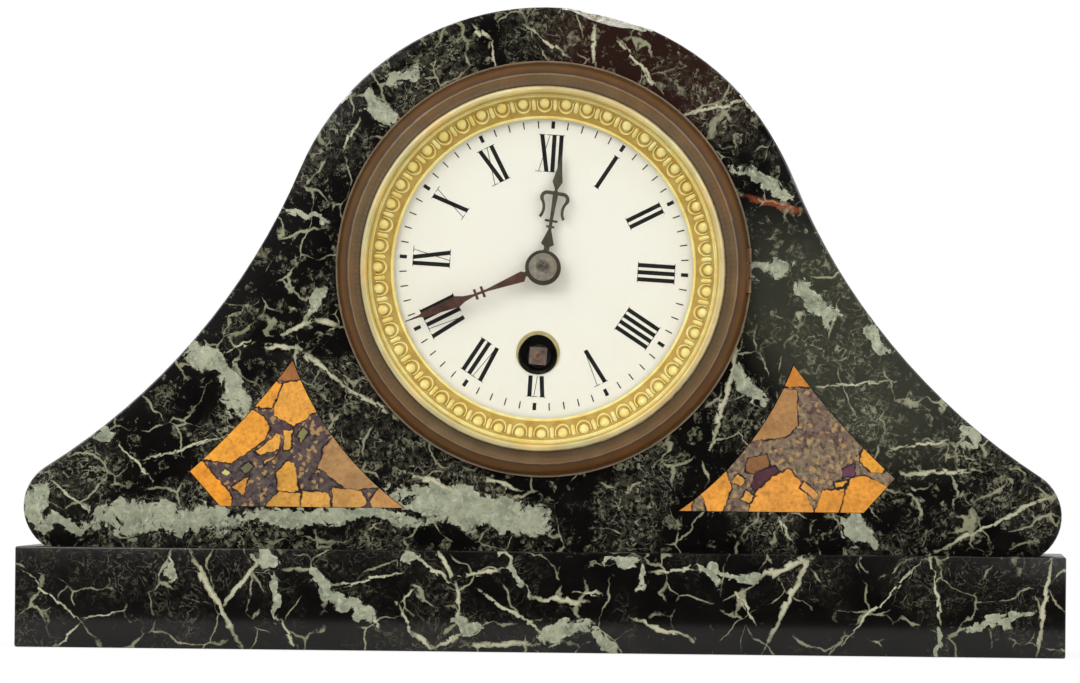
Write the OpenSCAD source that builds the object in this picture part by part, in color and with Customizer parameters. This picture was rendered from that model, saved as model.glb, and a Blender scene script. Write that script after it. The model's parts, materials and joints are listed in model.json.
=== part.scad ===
// Marble mantel clock with a front-wound eight-day movement and a lever platform.
// Millimetres. The front faces -Y, Z is up, and the origin is the middle of the plinth's underside.

/* [Case] */
// Width of the plinth
plinth_w = 282; // [278:1:320]
// Depth of the plinth
plinth_d = 90; // [80:1:120]
// Height of the plinth
plinth_h = 27; // [22:1:40]
// Depth of the marble body
body_d = 72; // [70:1:90]
// Radius of the round crown
crown_r = 71.5; // [69:0.5:76]
// Height of the crown's centre above the plinth
crown_up = 75; // [73:0.5:80]
// Radius of the rounded ends
end_r = 12.6; // [11:0.1:13]
// How far each rounded end stays inside the plinth's end
end_in = 1.2; // [0.6:0.2:4]
// Height of each rounded end's centre above the plinth
end_up = 10.8; // [8:0.1:10.9]
// Radius of the hollow shoulders
shoulder_r = 175; // [150:1:200]
// Radius of the bore that takes the movement
bore_r = 44; // [44:0.1:46]
// Height of the dial's centre above the plinth
dial_up = 76; // [74:0.5:78]

/* [Inlay panels] */
// Distance of each panel's outer edge from the shoulder
inlay_margin = 24.2; // [21:0.2:27]
// Height of each panel's upper point above the plinth
inlay_top_up = 51; // [46:0.5:53]
// Height of each panel's outer corner above the plinth
inlay_corner_up = 20.6; // [17:0.2:25]
// Height of each panel's lower edge above the plinth
inlay_base_up = 11.2; // [8:0.2:14]
// Distance of each panel's inner tip from the middle
inlay_tip_x = 36.6; // [32:0.2:40]
// Radius of each panel's hollow inner edge
inlay_inner_r = 84; // [75:1:120]
// Thickness of the panels
inlay_t = 4; // [2:0.5:8]
// Joint line round the panels
inlay_joint = 0.15; // [0.05:0.05:0.3]

/* [Tie rods] */
// Radius of the rods that hold the body to the plinth
rod_r = 3; // [2:0.5:4]
// Distance of each rod from the middle
rod_x = 95; // [70:1:105]
// Length of rod inside the body
rod_up = 24; // [15:1:26]
// Radius of the recess for each nut
recess_r = 9; // [8.5:0.5:12]
// Depth of the recess for each nut
recess_d = 10; // [9:0.5:14]
// Width of each nut across its flats
nut_w = 10; // [9:0.5:12]
// Height of each nut
nut_h = 5; // [3:0.5:6]
// Radius of each washer
washer_r = 7.5; // [7:0.5:8]
// Thickness of each washer
washer_t = 1.2; // [0.8:0.1:2]

/* [Bezel] */
// Width of the bezel's mouldings round its opening
bezel_w = 9; // [8.9:0.1:10]
// Width of the thin flange round the bezel
flange_w = 1.1; // [0.8:0.1:1.4]
// Radius of the bezel's round moulding
ovolo_r = 4.4; // [4.2:0.1:4.6]
// Height of the round moulding's centre
ovolo_z = 2.8; // [2.6:0.1:3]
// Radius of the hollow moulding
scotia_r = 1.95; // [1.7:0.05:2]
// Height of the hollow moulding's centre
scotia_z = 8.35; // [8.2:0.05:8.6]
// Height of the bright rim
rim_z = 10; // [9.8:0.1:11]
// Width of the bright rim
rim_w = 2; // [1.8:0.1:2.2]
// Radius inside the bright rim
rim_in_r = 47; // [46.8:0.1:48]
// Width of the sight ring inside the bright rim
sight_w = 6.8; // [6.4:0.1:7]
// Width of the sight ring's flat border
border_w = 1.6; // [1:0.2:3]
// Thickness of the sight ring
sight_t = 0.7; // [0.5:0.1:0.9]
// Thickness of the glass
glass_t = 1.8; // [1.5:0.1:2]
// Rise of the domed glass
glass_rise = 3; // [1:0.5:6]
// Radius of the bezel hinge's pin
hinge_pin_r = 0.7; // [0.6:0.05:0.8]
// Radius of the bezel hinge's knuckles
knuckle_r = 1.5; // [1.4:0.05:1.6]
// Length of the bezel hinge
hinge_len = 12; // [10:0.5:14]
// Height of the bezel hinge's axis above the marble
hinge_z = 2.4; // [2.4:0.05:2.6]

/* [Bezel seat and rear ring] */
// Thickness of the seat's flange
seat_t = 1; // [0.8:0.1:1]
// How far the seat's flange stays inside the bezel's edge
seat_in = 2.8; // [2.6:0.1:3.4]
// Wall of the skirts in the bore
skirt_t = 1.2; // [1:0.1:1.4]
// Inner radius of the lip that carries the movement
lip_r = 37.9; // [37.7:0.1:38.4]
// Thickness of that lip
lip_t = 2.5; // [2:0.1:3]
// Height of the snap rim that the bezel closes over
snap_h = 2.4; // [1.5:0.1:2.6]
// Width of the straps
strap_w = 9; // [7:0.5:12]
// Thickness of the straps
strap_t = 1.5; // [1.2:0.1:1.8]
// Outer radius of the rear ring
rear_r = 52; // [50:0.5:54]
// Thickness of the rear ring
rear_t = 1.2; // [1:0.1:1.6]
// Depth of the rear ring's skirt in the bore
rear_skirt = 6; // [4:0.5:10]
// Inner radius of the rear ring
rear_in_r = 33; // [32:0.2:33.4]
// Radius of the rear door
door_r = 35; // [34.4:0.2:35.4]
// Thickness of the rear door
door_t = 1; // [0.8:0.1:1.4]
// Radius of the screws through the rear ring
strap_screw_r = 1.2; // [1:0.1:1.3]

/* [Dial and hands] */
// Radius of the dial plate
dial_r = 41.2; // [41.1:0.05:41.2]
// Thickness of the dial plate
dial_t = 1.4; // [1:0.1:1.6]
// Height of the dial's face above the marble
dial_face = 0.8; // [0.4:0.1:0.8]
// How far the dial sits above the arbors
dial_shift = 0.85; // [0:0.05:0.9]
// Clockwise turn of the movement in its case, in degrees
movement_turn = 3.25; // [0:0.25:5]
// Radius of the winding hole
winding_r = 4.85; // [4.6:0.05:5]
// Width of the winding eyelet's rim
eyelet_w = 1; // [0.8:0.1:1.2]
// How far the minute hand's tip stays inside the sight ring
minute_in = 0.6; // [0.4:0.2:4]
// Length of the hour hand
hour_len = 31; // [28:0.5:34]
// Thickness of the hands
hand_t = 0.7; // [0.5:0.1:0.8]
// Angle of the minute hand, clockwise from twelve
minute_at = 245.2; // [0:0.1:360]
// Angle of the hour hand, clockwise from twelve
hour_at = 5.5; // [0:0.1:360]
// Radius of the minute hand's hub
hub_r = 4.8; // [4.6:0.1:5.2]
// Radius of the collet over the hub
collet_r = 3.8; // [3.4:0.1:4.2]

/* [Movement] */
// Thickness of the plates
plate_t = 2; // [1.8:0.1:2.2]
// Space between the dial and the front plate
motion_space = 8.4; // [8.4:0.1:10]
// Space between the plates
plates_gap = 22; // [21:0.5:24]
// Radius of the back plate
back_r = 37; // [36.5:0.1:37.2]
// Radius of the circle of pillars
pillar_ring = 31.6; // [31:0.1:32]
// Radius of the pillars
pillar_r = 2.8; // [2.4:0.1:3]
// Depth of the hollow turned in each half of a pillar
hollow_d = 1; // [0.4:0.1:1.2]
// Distance of the winding arbor below the centre
winding_drop = 23.4; // [23.2:0.05:23.5]
// Radius of the barrel's drum
barrel_r = 12.5; // [12:0.1:12.6]
// Wall of the barrel
barrel_t = 0.8; // [0.7:0.1:1]
// Radius of the barrel arbor
barrel_arbor_r = 3.2; // [3:0.1:3.3]
// Width of the winding square
square_w = 4.7; // [4.4:0.1:4.9]
// Radius of the train arbors
arbor_r = 0.9; // [0.8:0.05:1]
// Radius of the train pivots
pivot_r = 0.55; // [0.5:0.05:0.65]
// Radial play of the running fits
play = 0.05; // [0.03:0.01:0.08]
// Thickness of the train wheels
wheel_t = 0.9; // [0.7:0.1:1]
// Turns of the mainspring
spring_turns = 7; // [5:1:8]
// Thickness of the mainspring
spring_t = 0.3; // [0.2:0.05:0.4]

/* [Platform] */
// Thickness of the platform plate
platform_t = 2; // [1.8:0.1:2.4]
// Radius of the balance
balance_r = 7; // [6:0.1:7.2]
// Turns of the hairspring
hair_turns = 6; // [4:1:6]
// Radius of the hairspring
hair_r = 5; // [4.8:0.1:5.4]
// Radius of the escape wheel
escape_r = 3.6; // [3.4:0.05:3.7]
// Distance from the escape wheel to the lever's pivot
lever_gap = 4.9; // [4.8:0.05:5.1]
// Distance from the lever's pivot to the balance
balance_gap = 5.6; // [5.4:0.05:5.8]

/* [Hidden] */
$fn = 96;

// Overlap of cutting tools past the face that they cut
cut = 1;
// Gap between flat pieces that move past each other
slack = 0.2;
// Gap between pieces that slide or press together
fit = 0.03;

// Case outline: centres in X and Z of the crown, the ends and the shoulders
dial_z = plinth_h + dial_up;
crown_c = [0, plinth_h + crown_up];
end_x = plinth_w / 2 - end_in - end_r;
end_c = [end_x, plinth_h + end_up];
axis_gap = norm(end_c - crown_c);
axis_dir = (end_c - crown_c) / axis_gap;
axis_run = ((crown_r + shoulder_r)^2 - (end_r + shoulder_r)^2 + axis_gap^2) / (2 * axis_gap);
axis_rise = sqrt((crown_r + shoulder_r)^2 - axis_run^2);
shoulder_c = crown_c + axis_run * axis_dir + axis_rise * [-axis_dir.y, axis_dir.x];

// Inlay outline
inlay_r = shoulder_r + inlay_margin;
function on_shoulder(z) = [shoulder_c.x - sqrt(inlay_r^2 - (z - shoulder_c.y)^2), z];
inlay_apex = on_shoulder(plinth_h + inlay_top_up);
inlay_corner = on_shoulder(plinth_h + inlay_corner_up);
inlay_base_z = plinth_h + inlay_base_up;
inlay_slope = (inlay_corner - shoulder_c) / inlay_r;
inlay_foot = inlay_corner + inlay_slope * (inlay_base_z - inlay_corner.y) / inlay_slope.y;
inlay_tip = [inlay_tip_x, inlay_base_z];
inlay_chord = inlay_tip - inlay_apex;
inlay_half = norm(inlay_chord) / 2;
inlay_inner_c = (inlay_apex + inlay_tip) / 2
    + sqrt(inlay_inner_r^2 - inlay_half^2) * [inlay_chord.y, -inlay_chord.x] / (2 * inlay_half);

// Heights in the dial's own frame, with zero at the front of the marble and plus towards the viewer
dial_back = dial_face - dial_t;
front_face = dial_back - motion_space;
front_back = front_face - plate_t;
back_face = front_back - plates_gap;
back_back = back_face - plate_t;
platform_back = back_back - platform_t;
rear_face = -body_d;
lip_back = front_back - lip_t;
skirt_gap = 0.4;
skirt_r = bore_r - skirt_gap;
skirt_in_r = skirt_r - skirt_t;
plate_r = skirt_in_r - skirt_gap;
rod_tail = 1.5;

// Bezel mouldings
bezel_r = rim_in_r + bezel_w;
seat_r = bezel_r - seat_in;
sight_r = rim_in_r - sight_w;
border_r = rim_in_r - border_w;
floor_gap = 0.3;
bezel_floor = seat_t + floor_gap;
flange_floor = 0.5;
flange_h = 1.1;
skirt_edge = seat_r + 0.7;
glass_ledge = 1;
glass_drop = 1.4;
glass_gap = 0.1;
glass_seat_r = rim_in_r + glass_ledge;
glass_seat_z = rim_z - glass_drop;
glass_r = glass_seat_r - glass_gap;
glass_edge = glass_seat_z - glass_gap;
glass_sphere = (glass_r^2 + glass_rise^2) / (2 * glass_rise);
rim_c = rim_in_r + rim_w / 2;
lap = 0.1;
ovolo_x = bezel_r - flange_w - ovolo_r + lap;
scotia_in = 1.5;
scotia_x = rim_in_r + rim_w + scotia_in;
crest_r = scotia_x + scotia_in;
crest_z = 7.4;
crest_lap = 0.5;
snap_off = 0.6;
snap_in_r = rim_in_r + rim_w + snap_off;
snap_w = 1;
snap_gap = 0.3;
snap_room = 0.5;
hinge_in = 0.1;
hinge_x = bezel_r - knuckle_r - hinge_in;
hinge_lap = 1.5;
knuckle_gap = 0.2;
bezel_knuckle = hinge_len / 3;
hinge_web = knuckle_r + slack + 0.4;
sight_top = glass_edge - glass_t - slack;
sight_low = 2.6;
sight_skirt_z = 1.7;
sight_out = glass_seat_r - glass_gap;

// Rear door, its hinge and its knob
door_z = rear_face - rear_t - slack;
door_bead_r = 0.7;
door_bead_in = 1.2;
door_hinge_r = 1.2;
door_pin_r = 0.5;
door_hinge_len = 14;
door_hinge_x = -door_r - door_hinge_r - slack;
door_hinge_z = door_z - door_hinge_r;
door_hinge_lap = 3;
knob_x = door_r - 6;
knob_stem_r = 1.2;
knob_stem_len = 3;
knob_r = 2.4;
knob_out = 4.6;

// Train: tooth counts and modules
great_z = 72;
great_m = 0.38;
intermediate_leaves = 12;
intermediate_z = 60;
intermediate_m = 0.35;
centre_leaves = 12;
centre_z = 80;
centre_m = 0.27;
third_leaves = 10;
third_z = 75;
third_m = 0.28;
fourth_leaves = 10;
fourth_z = 80;
fourth_m = 0.24;
escape_leaves = 8;
cannon_leaves = 12;
minute_z = 36;
minute_m = 0.5;
minute_leaves = 10;
hour_z = 40;
minute_gap = minute_m * (cannon_leaves + minute_z) / 2;
hour_m = 2 * minute_gap / (minute_leaves + hour_z);

// Train: places of the arbors in the dial's plane
function polar(r, a) = r * [cos(a), sin(a)];
function apart(m, a, b) = m * (a + b) / 2;
centre_at = [0, 0];
barrel_at = [0, -winding_drop];
great_gap = apart(great_m, great_z, intermediate_leaves);
intermediate_gap = apart(intermediate_m, intermediate_z, centre_leaves);
intermediate_y = (great_gap^2 - intermediate_gap^2 - winding_drop^2) / (2 * winding_drop);
intermediate_at = [sqrt(intermediate_gap^2 - intermediate_y^2), intermediate_y];
third_at = polar(apart(centre_m, centre_z, third_leaves), 150);
fourth_at = third_at + polar(apart(third_m, third_z, fourth_leaves), 40);
escape_at = fourth_at + polar(apart(fourth_m, fourth_z, escape_leaves), 30);
lever_at = escape_at - [lever_gap, 0];
balance_at = lever_at - [balance_gap, 0];
minute_wheel_at = polar(minute_gap, 160);

// Angle at which a tooth of gear b fits a tooth of gear a that stands at angle turn
function bearing(a, b) = atan2(b.y - a.y, b.x - a.x);
function mate(a, turn, za, b, zb) =
    bearing(a, b) + 180 + (180 - (turn - bearing(a, b)) * za) / zb;

// Train: heights of the wheels
barrel_gap = 4;
great_top = front_back - barrel_gap;
great_t = 2;
barrel_low = back_face + barrel_gap;
barrel_floor_t = 1;
cap_t = 1;
barrel_pivot_r = 2;
intermediate_drop = 3;
intermediate_wheel_z = front_back - intermediate_drop;
centre_lift = 2.4;
centre_wheel_z = back_face + centre_lift;
third_drop = 9;
third_wheel_z = front_back - third_drop;
fourth_lift = 0.6;
fourth_wheel_z = back_face + fourth_lift;
leaf_past = 0.5;
pivot_in = 0.4;
cannon_lift = 0.6;
cannon_z = front_face + cannon_lift;
cannon_len = 2.6;
minute_wheel_lift = 1.4;
minute_wheel_z = front_face + minute_wheel_lift;
minute_leaf_len = 3.5;
minute_pipe_w = 0.6;
hour_wheel_drop = 4;
hour_wheel_z = dial_back - hour_wheel_drop;
ratchet_lift = 0.4;
ratchet_z = front_face + ratchet_lift;
ratchet_t = 1.5;
ratchet_r = 7;
ratchet_teeth = 28;
ratchet_depth = 0.8;
square_end = 0.8;
dimple_r = 0.7;

// Wheels: width of the rims and arms, and radii of the hubs
wheel_rim = 1;
arm_w = 1;
great_hub_r = 2.6;
third_hub_r = 2.4;
fourth_hub_r = 2.2;
minute_hub_r = 3.2;
hour_hub_r = 3.4;

// Hands: heights of their seats
hour_lift = 1.6;
hour_hand_z = dial_face + hour_lift;
hand_gap = 1.2;
minute_hand_z = hour_hand_z + hand_t + hand_gap;
collet_z = minute_hand_z + hand_t;
collet_t = 1.3;
collet_step = 0.8;
arbor_past = 0.6;
arbor_end = collet_z + collet_t + arbor_past;
hand_pin_r = 0.28;
hand_pin_len = 4.4;
minute_len = sight_r - minute_in;
minute_drawn = 39.6;
hour_drawn = 31;
arch_c = [2.1, 19.1];
arch_r = 1.4;
arch_w = 0.95;
flick_r = 4;
flick_w = 0.75;
flick_at = 35;
hub_step = 0.6;
centre_r = 1.2;
pipe_in_r = centre_r + play;
cannon_r = 1.9;
hour_pipe_in = cannon_r + play;
hour_pipe_r = 2.5;
centre_hole_r = hour_pipe_r + dial_shift + 0.4;
eyelet_t = 0.35;

// Movement fixings
dial_foot_ring = 34;
dial_foot_at = [for (a = [90, 200, 340]) polar(dial_foot_ring, a)];
dial_foot_r = 1.2;
dial_foot_past = 2.2;
dial_pin_r = 0.4;
dial_pin_len = 5.2;
pillar_at = [for (a = [45, 135, 225, 315]) polar(pillar_ring, a)];
pillar_end_r = 1.5;
pillar_screw_r = 1;
pillar_screw_in = 5;
pillar_hole_in = 6;
hollow_r = 9;
hollow_z = 5.9;
plate_screw_at = [for (a = [0, 120, 240]) polar((lip_r + plate_r) / 2, a)];
plate_screw_r = 0.9;
strap_gap = 0.3;
strap_in_r = skirt_in_r - strap_gap - strap_t;
foot_len = 7.5;
foot_t = 2;
strap_screw_at = strap_in_r + strap_t - foot_len / 2 - 2 * strap_gap;
strap_screw_past = 1;
stud_r = 0.8;
stud_len = 5;
escape_hole_r = 2;

// Screw heads: radius and height of each kind, and the width of the slot
slot_w = 0.5;
strap_head = [2, 1.4];
pillar_head = [2.2, 1.4];
plate_head = [1.7, 1.2];
click_head = [1.6, 0.9];
platform_head = [1.5, 1];

// Click: pivot, nose and spring on the front plate
click_reach = 11.2;
click_at = barrel_at + polar(click_reach, 8);
click_gap = 0.25;
click_nose = barrel_at + polar(ratchet_r + click_gap, 48);
click_nose_w = 0.9;
click_t = 1.3;
click_r = 1.9;
click_screw_r = 0.8;
spring_foot_reach = 19;
spring_foot = barrel_at + polar(spring_foot_reach, 40);
spring_foot_r = 2;
spring_leaf_t = 0.5;
spring_leaf_off = 1.3;

// Platform heights
lever_z = platform_back - 2.4;
lever_t = 0.6;
cock_z = platform_back - 4.4;
cock_t = 1.4;
balance_z = platform_back - 7.4;
balance_t = 1;
hair_z = balance_z - 1.3;
hair_t = 0.4;
hair_w = 0.14;
hair_in_r = 1.1;
bridge_z = hair_z - 0.8;
bridge_t = 1.8;
index_t = 0.6;
staff_r = 0.5;
staff_pivot_r = 0.25;
platform_x0 = -13;
platform_x1 = 19;
platform_y0 = 9;
platform_y1 = 33.5;
platform_screw_at = [[-10.6, 11.4], [16.6, 11.4], [-10.6, 31], [14, 31]];
platform_screw_r = 0.8;
bridge_foot_y = balance_at.y + balance_r + 0.9;
bridge_w = 6;
cock_foot_x = escape_at.x + escape_r + 1.2;
cock_w = 5;

// Least gaps between the turns of the two springs
function gap(r0, r1, turns, t) = (r1 - r0) / turns - t;
spring_in_r = barrel_arbor_r + 0.7;
spring_out_r = barrel_r - barrel_t - 0.3;
echo(least_gap_of_mainspring = gap(spring_in_r, spring_out_r, spring_turns, spring_t));
echo(least_gap_of_hairspring = gap(hair_in_r, hair_r, hair_turns, hair_w));

// Frames
module at_dial() {
    translate([0, -body_d / 2, dial_z])
        rotate([90, 0, 0])
            children();
}

module in_movement() {
    at_dial()
        rotate([0, 0, -movement_turn])
            children();
}

// Turned piece between two heights
module turned(z0, z1, r) {
    translate([0, 0, z0])
        cylinder(r = r, h = z1 - z0);
}

// Toothed outline with flanks from root to pitch circle to tip
module toothed(z, m, root, pitch, tip, rise, depth, turn) {
    rp = m * z / 2;
    side = [[rp - depth * m, -root], [rp, -pitch], [rp + rise * m, -tip],
        [rp + rise * m, tip], [rp, pitch], [rp - depth * m, root]];
    polygon([for (i = [0 : z - 1], s = side)
        polar(s[0], turn + 360 * i / z + s[1] * m / 2 / s[0] * 180 / PI)]);
}

// Crossed-out brass wheel on its arbor
module wheel(z, m, turn, t, hub, bore, arms = 5) {
    rim = m * z / 2 - 1.35 * m - wheel_rim;
    linear_extrude(t)
        difference() {
            toothed(z, m, 1.3, 1.2, 0.4, 1, 1.35, turn);
            circle(bore);
            difference() {
                circle(rim);
                circle(hub);
                for (i = [0 : arms - 1])
                    rotate(turn + 360 * i / arms)
                        translate([0, -arm_w / 2])
                            square([rim + cut, arm_w]);
            }
        }
}

// Pinion leaves of a given length
module leaves(z, m, turn, len) {
    linear_extrude(len)
        toothed(z, m, 0.75, 1, 0.35, 0.62, 1.45, turn);
}

// Arbor with a pivot in each plate
module arbor() {
    turned(back_face + slack, front_back - slack, arbor_r);
    turned(back_back + pivot_in, front_face - pivot_in, pivot_r);
}

// Screw that points down, with a slotted cheese head of a given radius and height on top
module screw(r, len, head) {
    difference() {
        union() {
            turned(-len, 0, r);
            turned(0, head[1], head[0]);
        }
        translate([-head[0] - cut, -slot_w / 2, head[1] / 2])
            cube([2 * (head[0] + cut), slot_w, head[1]]);
    }
}

// Spiral strip of even pitch
module spiral(r0, r1, turns, t, steps) {
    n = turns * steps;
    function at(i, side) = polar(r0 + (r1 - r0) * i / n + side * t / 2, 360 * i / steps);
    polygon(concat([for (i = [0 : n]) at(i, -1)], [for (i = [n : -1 : 0]) at(i, 1)]));
}

// Case

module body_outline() {
    intersection() {
        translate([-plinth_w, plinth_h])
            square([2 * plinth_w, crown_up + 2 * crown_r]);
        difference() {
            union() {
                translate(crown_c)
                    circle(crown_r);
                for (s = [-1, 1])
                    translate([s * end_c.x, end_c.y])
                        circle(end_r);
                polygon([[-end_c.x, plinth_h], [end_c.x, plinth_h], end_c, shoulder_c, crown_c,
                    [-shoulder_c.x, shoulder_c.y], [-end_c.x, end_c.y]]);
            }
            for (s = [-1, 1])
                translate([s * shoulder_c.x, shoulder_c.y])
                    circle(shoulder_r, $fn = 360);
        }
    }
}

// Outline of the right panel, drawn in by a given amount all round
module inlay_outline(inset) {
    difference() {
        intersection() {
            polygon([inlay_apex, inlay_corner, inlay_foot, inlay_tip]);
            translate([0, inlay_base_z + inset])
                square([end_x, crown_r]);
            translate(inlay_corner + inset * [inlay_slope.y, -inlay_slope.x])
                rotate(atan2(inlay_slope.y, inlay_slope.x))
                    translate([-end_x, -2 * end_x])
                        square([2 * end_x, 2 * end_x]);
        }
        translate(shoulder_c)
            circle(inlay_r + inset, $fn = 360);
        translate(inlay_inner_c)
            circle(inlay_inner_r + inset, $fn = 360);
    }
}

module in_front(depth) {
    translate([0, -body_d / 2 + depth, 0])
        rotate([90, 0, 0])
            linear_extrude(depth)
                children();
}

module plinth() {
    color("#1b1917")
        difference() {
            translate([-plinth_w / 2, -plinth_d / 2, 0])
                cube([plinth_w, plinth_d, plinth_h]);
            for (s = [-1, 1])
                translate([s * rod_x, 0, 0]) {
                    turned(-cut, recess_d, recess_r);
                    turned(0, plinth_h + cut, rod_r + slack);
                }
        }
}

module case_body() {
    color("#171513")
        difference() {
            in_front(body_d)
                body_outline();
            at_dial()
                turned(rear_face - cut, cut, bore_r);
            for (s = [0, 1])
                mirror([s, 0, 0])
                    translate([0, -cut, 0])
                        in_front(inlay_t + cut)
                            inlay_outline(0);
            for (s = [-1, 1])
                translate([s * rod_x, 0, 0])
                    turned(plinth_h - cut, plinth_h + rod_up + slack, rod_r + fit);
        }
}

module inlay_right() {
    color("#a8702e")
        in_front(inlay_t)
            inlay_outline(inlay_joint);
}

module inlay_left() {
    color("#a8702e")
        mirror([1, 0, 0])
            in_front(inlay_t)
                inlay_outline(inlay_joint);
}

module tie_rods() {
    color("#5b5a58")
        for (s = [-1, 1])
            translate([s * rod_x, 0, 0])
                turned(recess_d - washer_t - nut_h - rod_tail, plinth_h + rod_up, rod_r);
}

module tie_washers() {
    color("#77736c")
        for (s = [-1, 1])
            translate([s * rod_x, 0, recess_d - washer_t])
                difference() {
                    cylinder(r = washer_r, h = washer_t);
                    turned(-cut, washer_t + cut, rod_r + slack);
                }
}

module tie_nuts() {
    color("#66625c")
        for (s = [-1, 1])
            translate([s * rod_x, 0, recess_d - washer_t - nut_h])
                difference() {
                    cylinder(d = nut_w / cos(30), h = nut_h, $fn = 6);
                    turned(-cut, nut_h + cut, rod_r + fit);
                }
}

// Bezel, glass and sight ring

module bezel_seat() {
    color("#a9894f")
        at_dial()
            difference() {
                union() {
                    rotate_extrude()
                        union() {
                            translate([lip_r, lip_back])
                                square([skirt_r - lip_r, lip_t]);
                            translate([skirt_in_r, lip_back])
                                square([skirt_t, seat_t - lip_back]);
                            translate([skirt_in_r, 0])
                                square([seat_r - skirt_in_r, seat_t]);
                            translate([snap_in_r, 0])
                                square([snap_w, seat_t + snap_h]);
                        }
                    for (s = [-1, 1])
                        scale([1, s, 1]) {
                            translate([hinge_x, hinge_len / 2, hinge_z])
                                rotate([90, 0, 0])
                                    cylinder(r = knuckle_r, h = hinge_len / 3 - knuckle_gap);
                            translate([seat_r - hinge_lap, hinge_len / 6 + knuckle_gap, 0])
                                cube([hinge_x - seat_r + hinge_lap, hinge_len / 3 - knuckle_gap, seat_t]);
                            translate([hinge_x - knuckle_r, hinge_len / 6 + knuckle_gap, 0])
                                cube([knuckle_r, hinge_len / 3 - knuckle_gap, hinge_z]);
                        }
                }
                translate([hinge_x, hinge_len / 2 + cut, hinge_z])
                    rotate([90, 0, 0])
                        cylinder(r = hinge_pin_r + fit, h = hinge_len + 2 * cut);
                rotate([0, 0, -movement_turn])
                    for (p = plate_screw_at)
                        translate(p)
                            turned(lip_back - cut, front_back + cut, plate_screw_r + fit);
            }
}

module bezel_profile() {
    difference() {
        union() {
            translate([glass_seat_r, bezel_floor])
                square([crest_r - glass_seat_r, crest_z - bezel_floor]);
            translate([rim_in_r, glass_seat_z])
                square([rim_w, rim_z - rim_w / 2 - glass_seat_z]);
            translate([glass_seat_r, bezel_floor])
                square([rim_in_r + rim_w - glass_seat_r, glass_seat_z - bezel_floor + lap]);
            intersection() {
                translate([rim_c, rim_z - rim_w / 2])
                    circle(rim_w / 2);
                translate([rim_in_r, rim_z - rim_w / 2 - lap])
                    square([rim_w, rim_w]);
            }
            intersection() {
                translate([ovolo_x, ovolo_z])
                    circle(ovolo_r);
                translate([crest_r - crest_lap, bezel_floor])
                    square([ovolo_r, crest_z]);
            }
            translate([skirt_edge, flange_floor])
                square([bezel_r - skirt_edge, flange_h]);
        }
        translate([scotia_x, scotia_z])
            circle(scotia_r);
        translate([snap_in_r - snap_gap, 0])
            square([snap_w + 2 * snap_gap, seat_t + snap_h + snap_room]);
    }
}

module front_bezel() {
    notch = hinge_len / 2 + slack;
    color("#7a4f28")
        at_dial()
            difference() {
                union() {
                    difference() {
                        rotate_extrude()
                            bezel_profile();
                        translate([hinge_x - knuckle_r - slack, -notch, 0])
                            cube([2 * (knuckle_r + cut), 2 * notch, hinge_z + knuckle_r + slack]);
                    }
                    translate([hinge_x, bezel_knuckle / 2 - knuckle_gap, hinge_z])
                        rotate([90, 0, 0])
                            cylinder(r = knuckle_r, h = bezel_knuckle - 2 * knuckle_gap);
                    translate([hinge_x - knuckle_r, knuckle_gap - bezel_knuckle / 2, hinge_z])
                        cube([knuckle_r, bezel_knuckle - 2 * knuckle_gap, hinge_web]);
                }
                translate([hinge_x, hinge_len / 2, hinge_z])
                    rotate([90, 0, 0])
                        cylinder(r = hinge_pin_r + play, h = hinge_len);
            }
}

module bezel_hinge_pin() {
    color("#8f8a80")
        at_dial()
            translate([hinge_x, hinge_len / 2, hinge_z])
                rotate([90, 0, 0])
                    cylinder(r = hinge_pin_r, h = hinge_len);
}

module glass() {
    color("#dfe8e6", 0.3)
        at_dial()
            rotate_extrude()
                intersection() {
                    translate([0, glass_edge - glass_t - cut])
                        square([glass_r, glass_t + glass_rise + 2 * cut]);
                    difference() {
                        translate([0, glass_edge + glass_rise - glass_sphere])
                            circle(glass_sphere, $fn = 1440);
                        translate([0, glass_edge + glass_rise - glass_sphere - glass_t])
                            circle(glass_sphere, $fn = 1440);
                    }
                }
}

module sight_ring() {
    color("#c7a64a")
        at_dial()
            rotate_extrude()
                polygon([[sight_out, sight_skirt_z], [sight_out, sight_top], [border_r, sight_top],
                    [sight_r, sight_low], [sight_r, sight_low - sight_t],
                    [border_r, sight_top - sight_t - slack],
                    [sight_out - sight_t, sight_top - sight_t],
                    [sight_out - sight_t, sight_skirt_z]]);
}

// Rear of the case

module straps() {
    color("#9c7f48")
        at_dial()
            for (s = [-1, 1])
                scale([1, s, 1])
                    difference() {
                        union() {
                            translate([-strap_w / 2, strap_in_r, rear_face])
                                cube([strap_w, strap_t, lip_back - rear_face]);
                            translate([-strap_w / 2, strap_in_r + strap_t - foot_len, rear_face])
                                cube([strap_w, foot_len, foot_t]);
                        }
                        translate([0, strap_screw_at, 0])
                            turned(rear_face - cut, rear_face + foot_t + cut, strap_screw_r + fit);
                    }
}

module strap_screws() {
    color("#6d6a66")
        at_dial()
            for (s = [-1, 1])
                translate([0, s * strap_screw_at, rear_face - rear_t])
                    rotate([180, 0, 0])
                        screw(strap_screw_r, rear_t + foot_t + strap_screw_past, strap_head);
}

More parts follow.
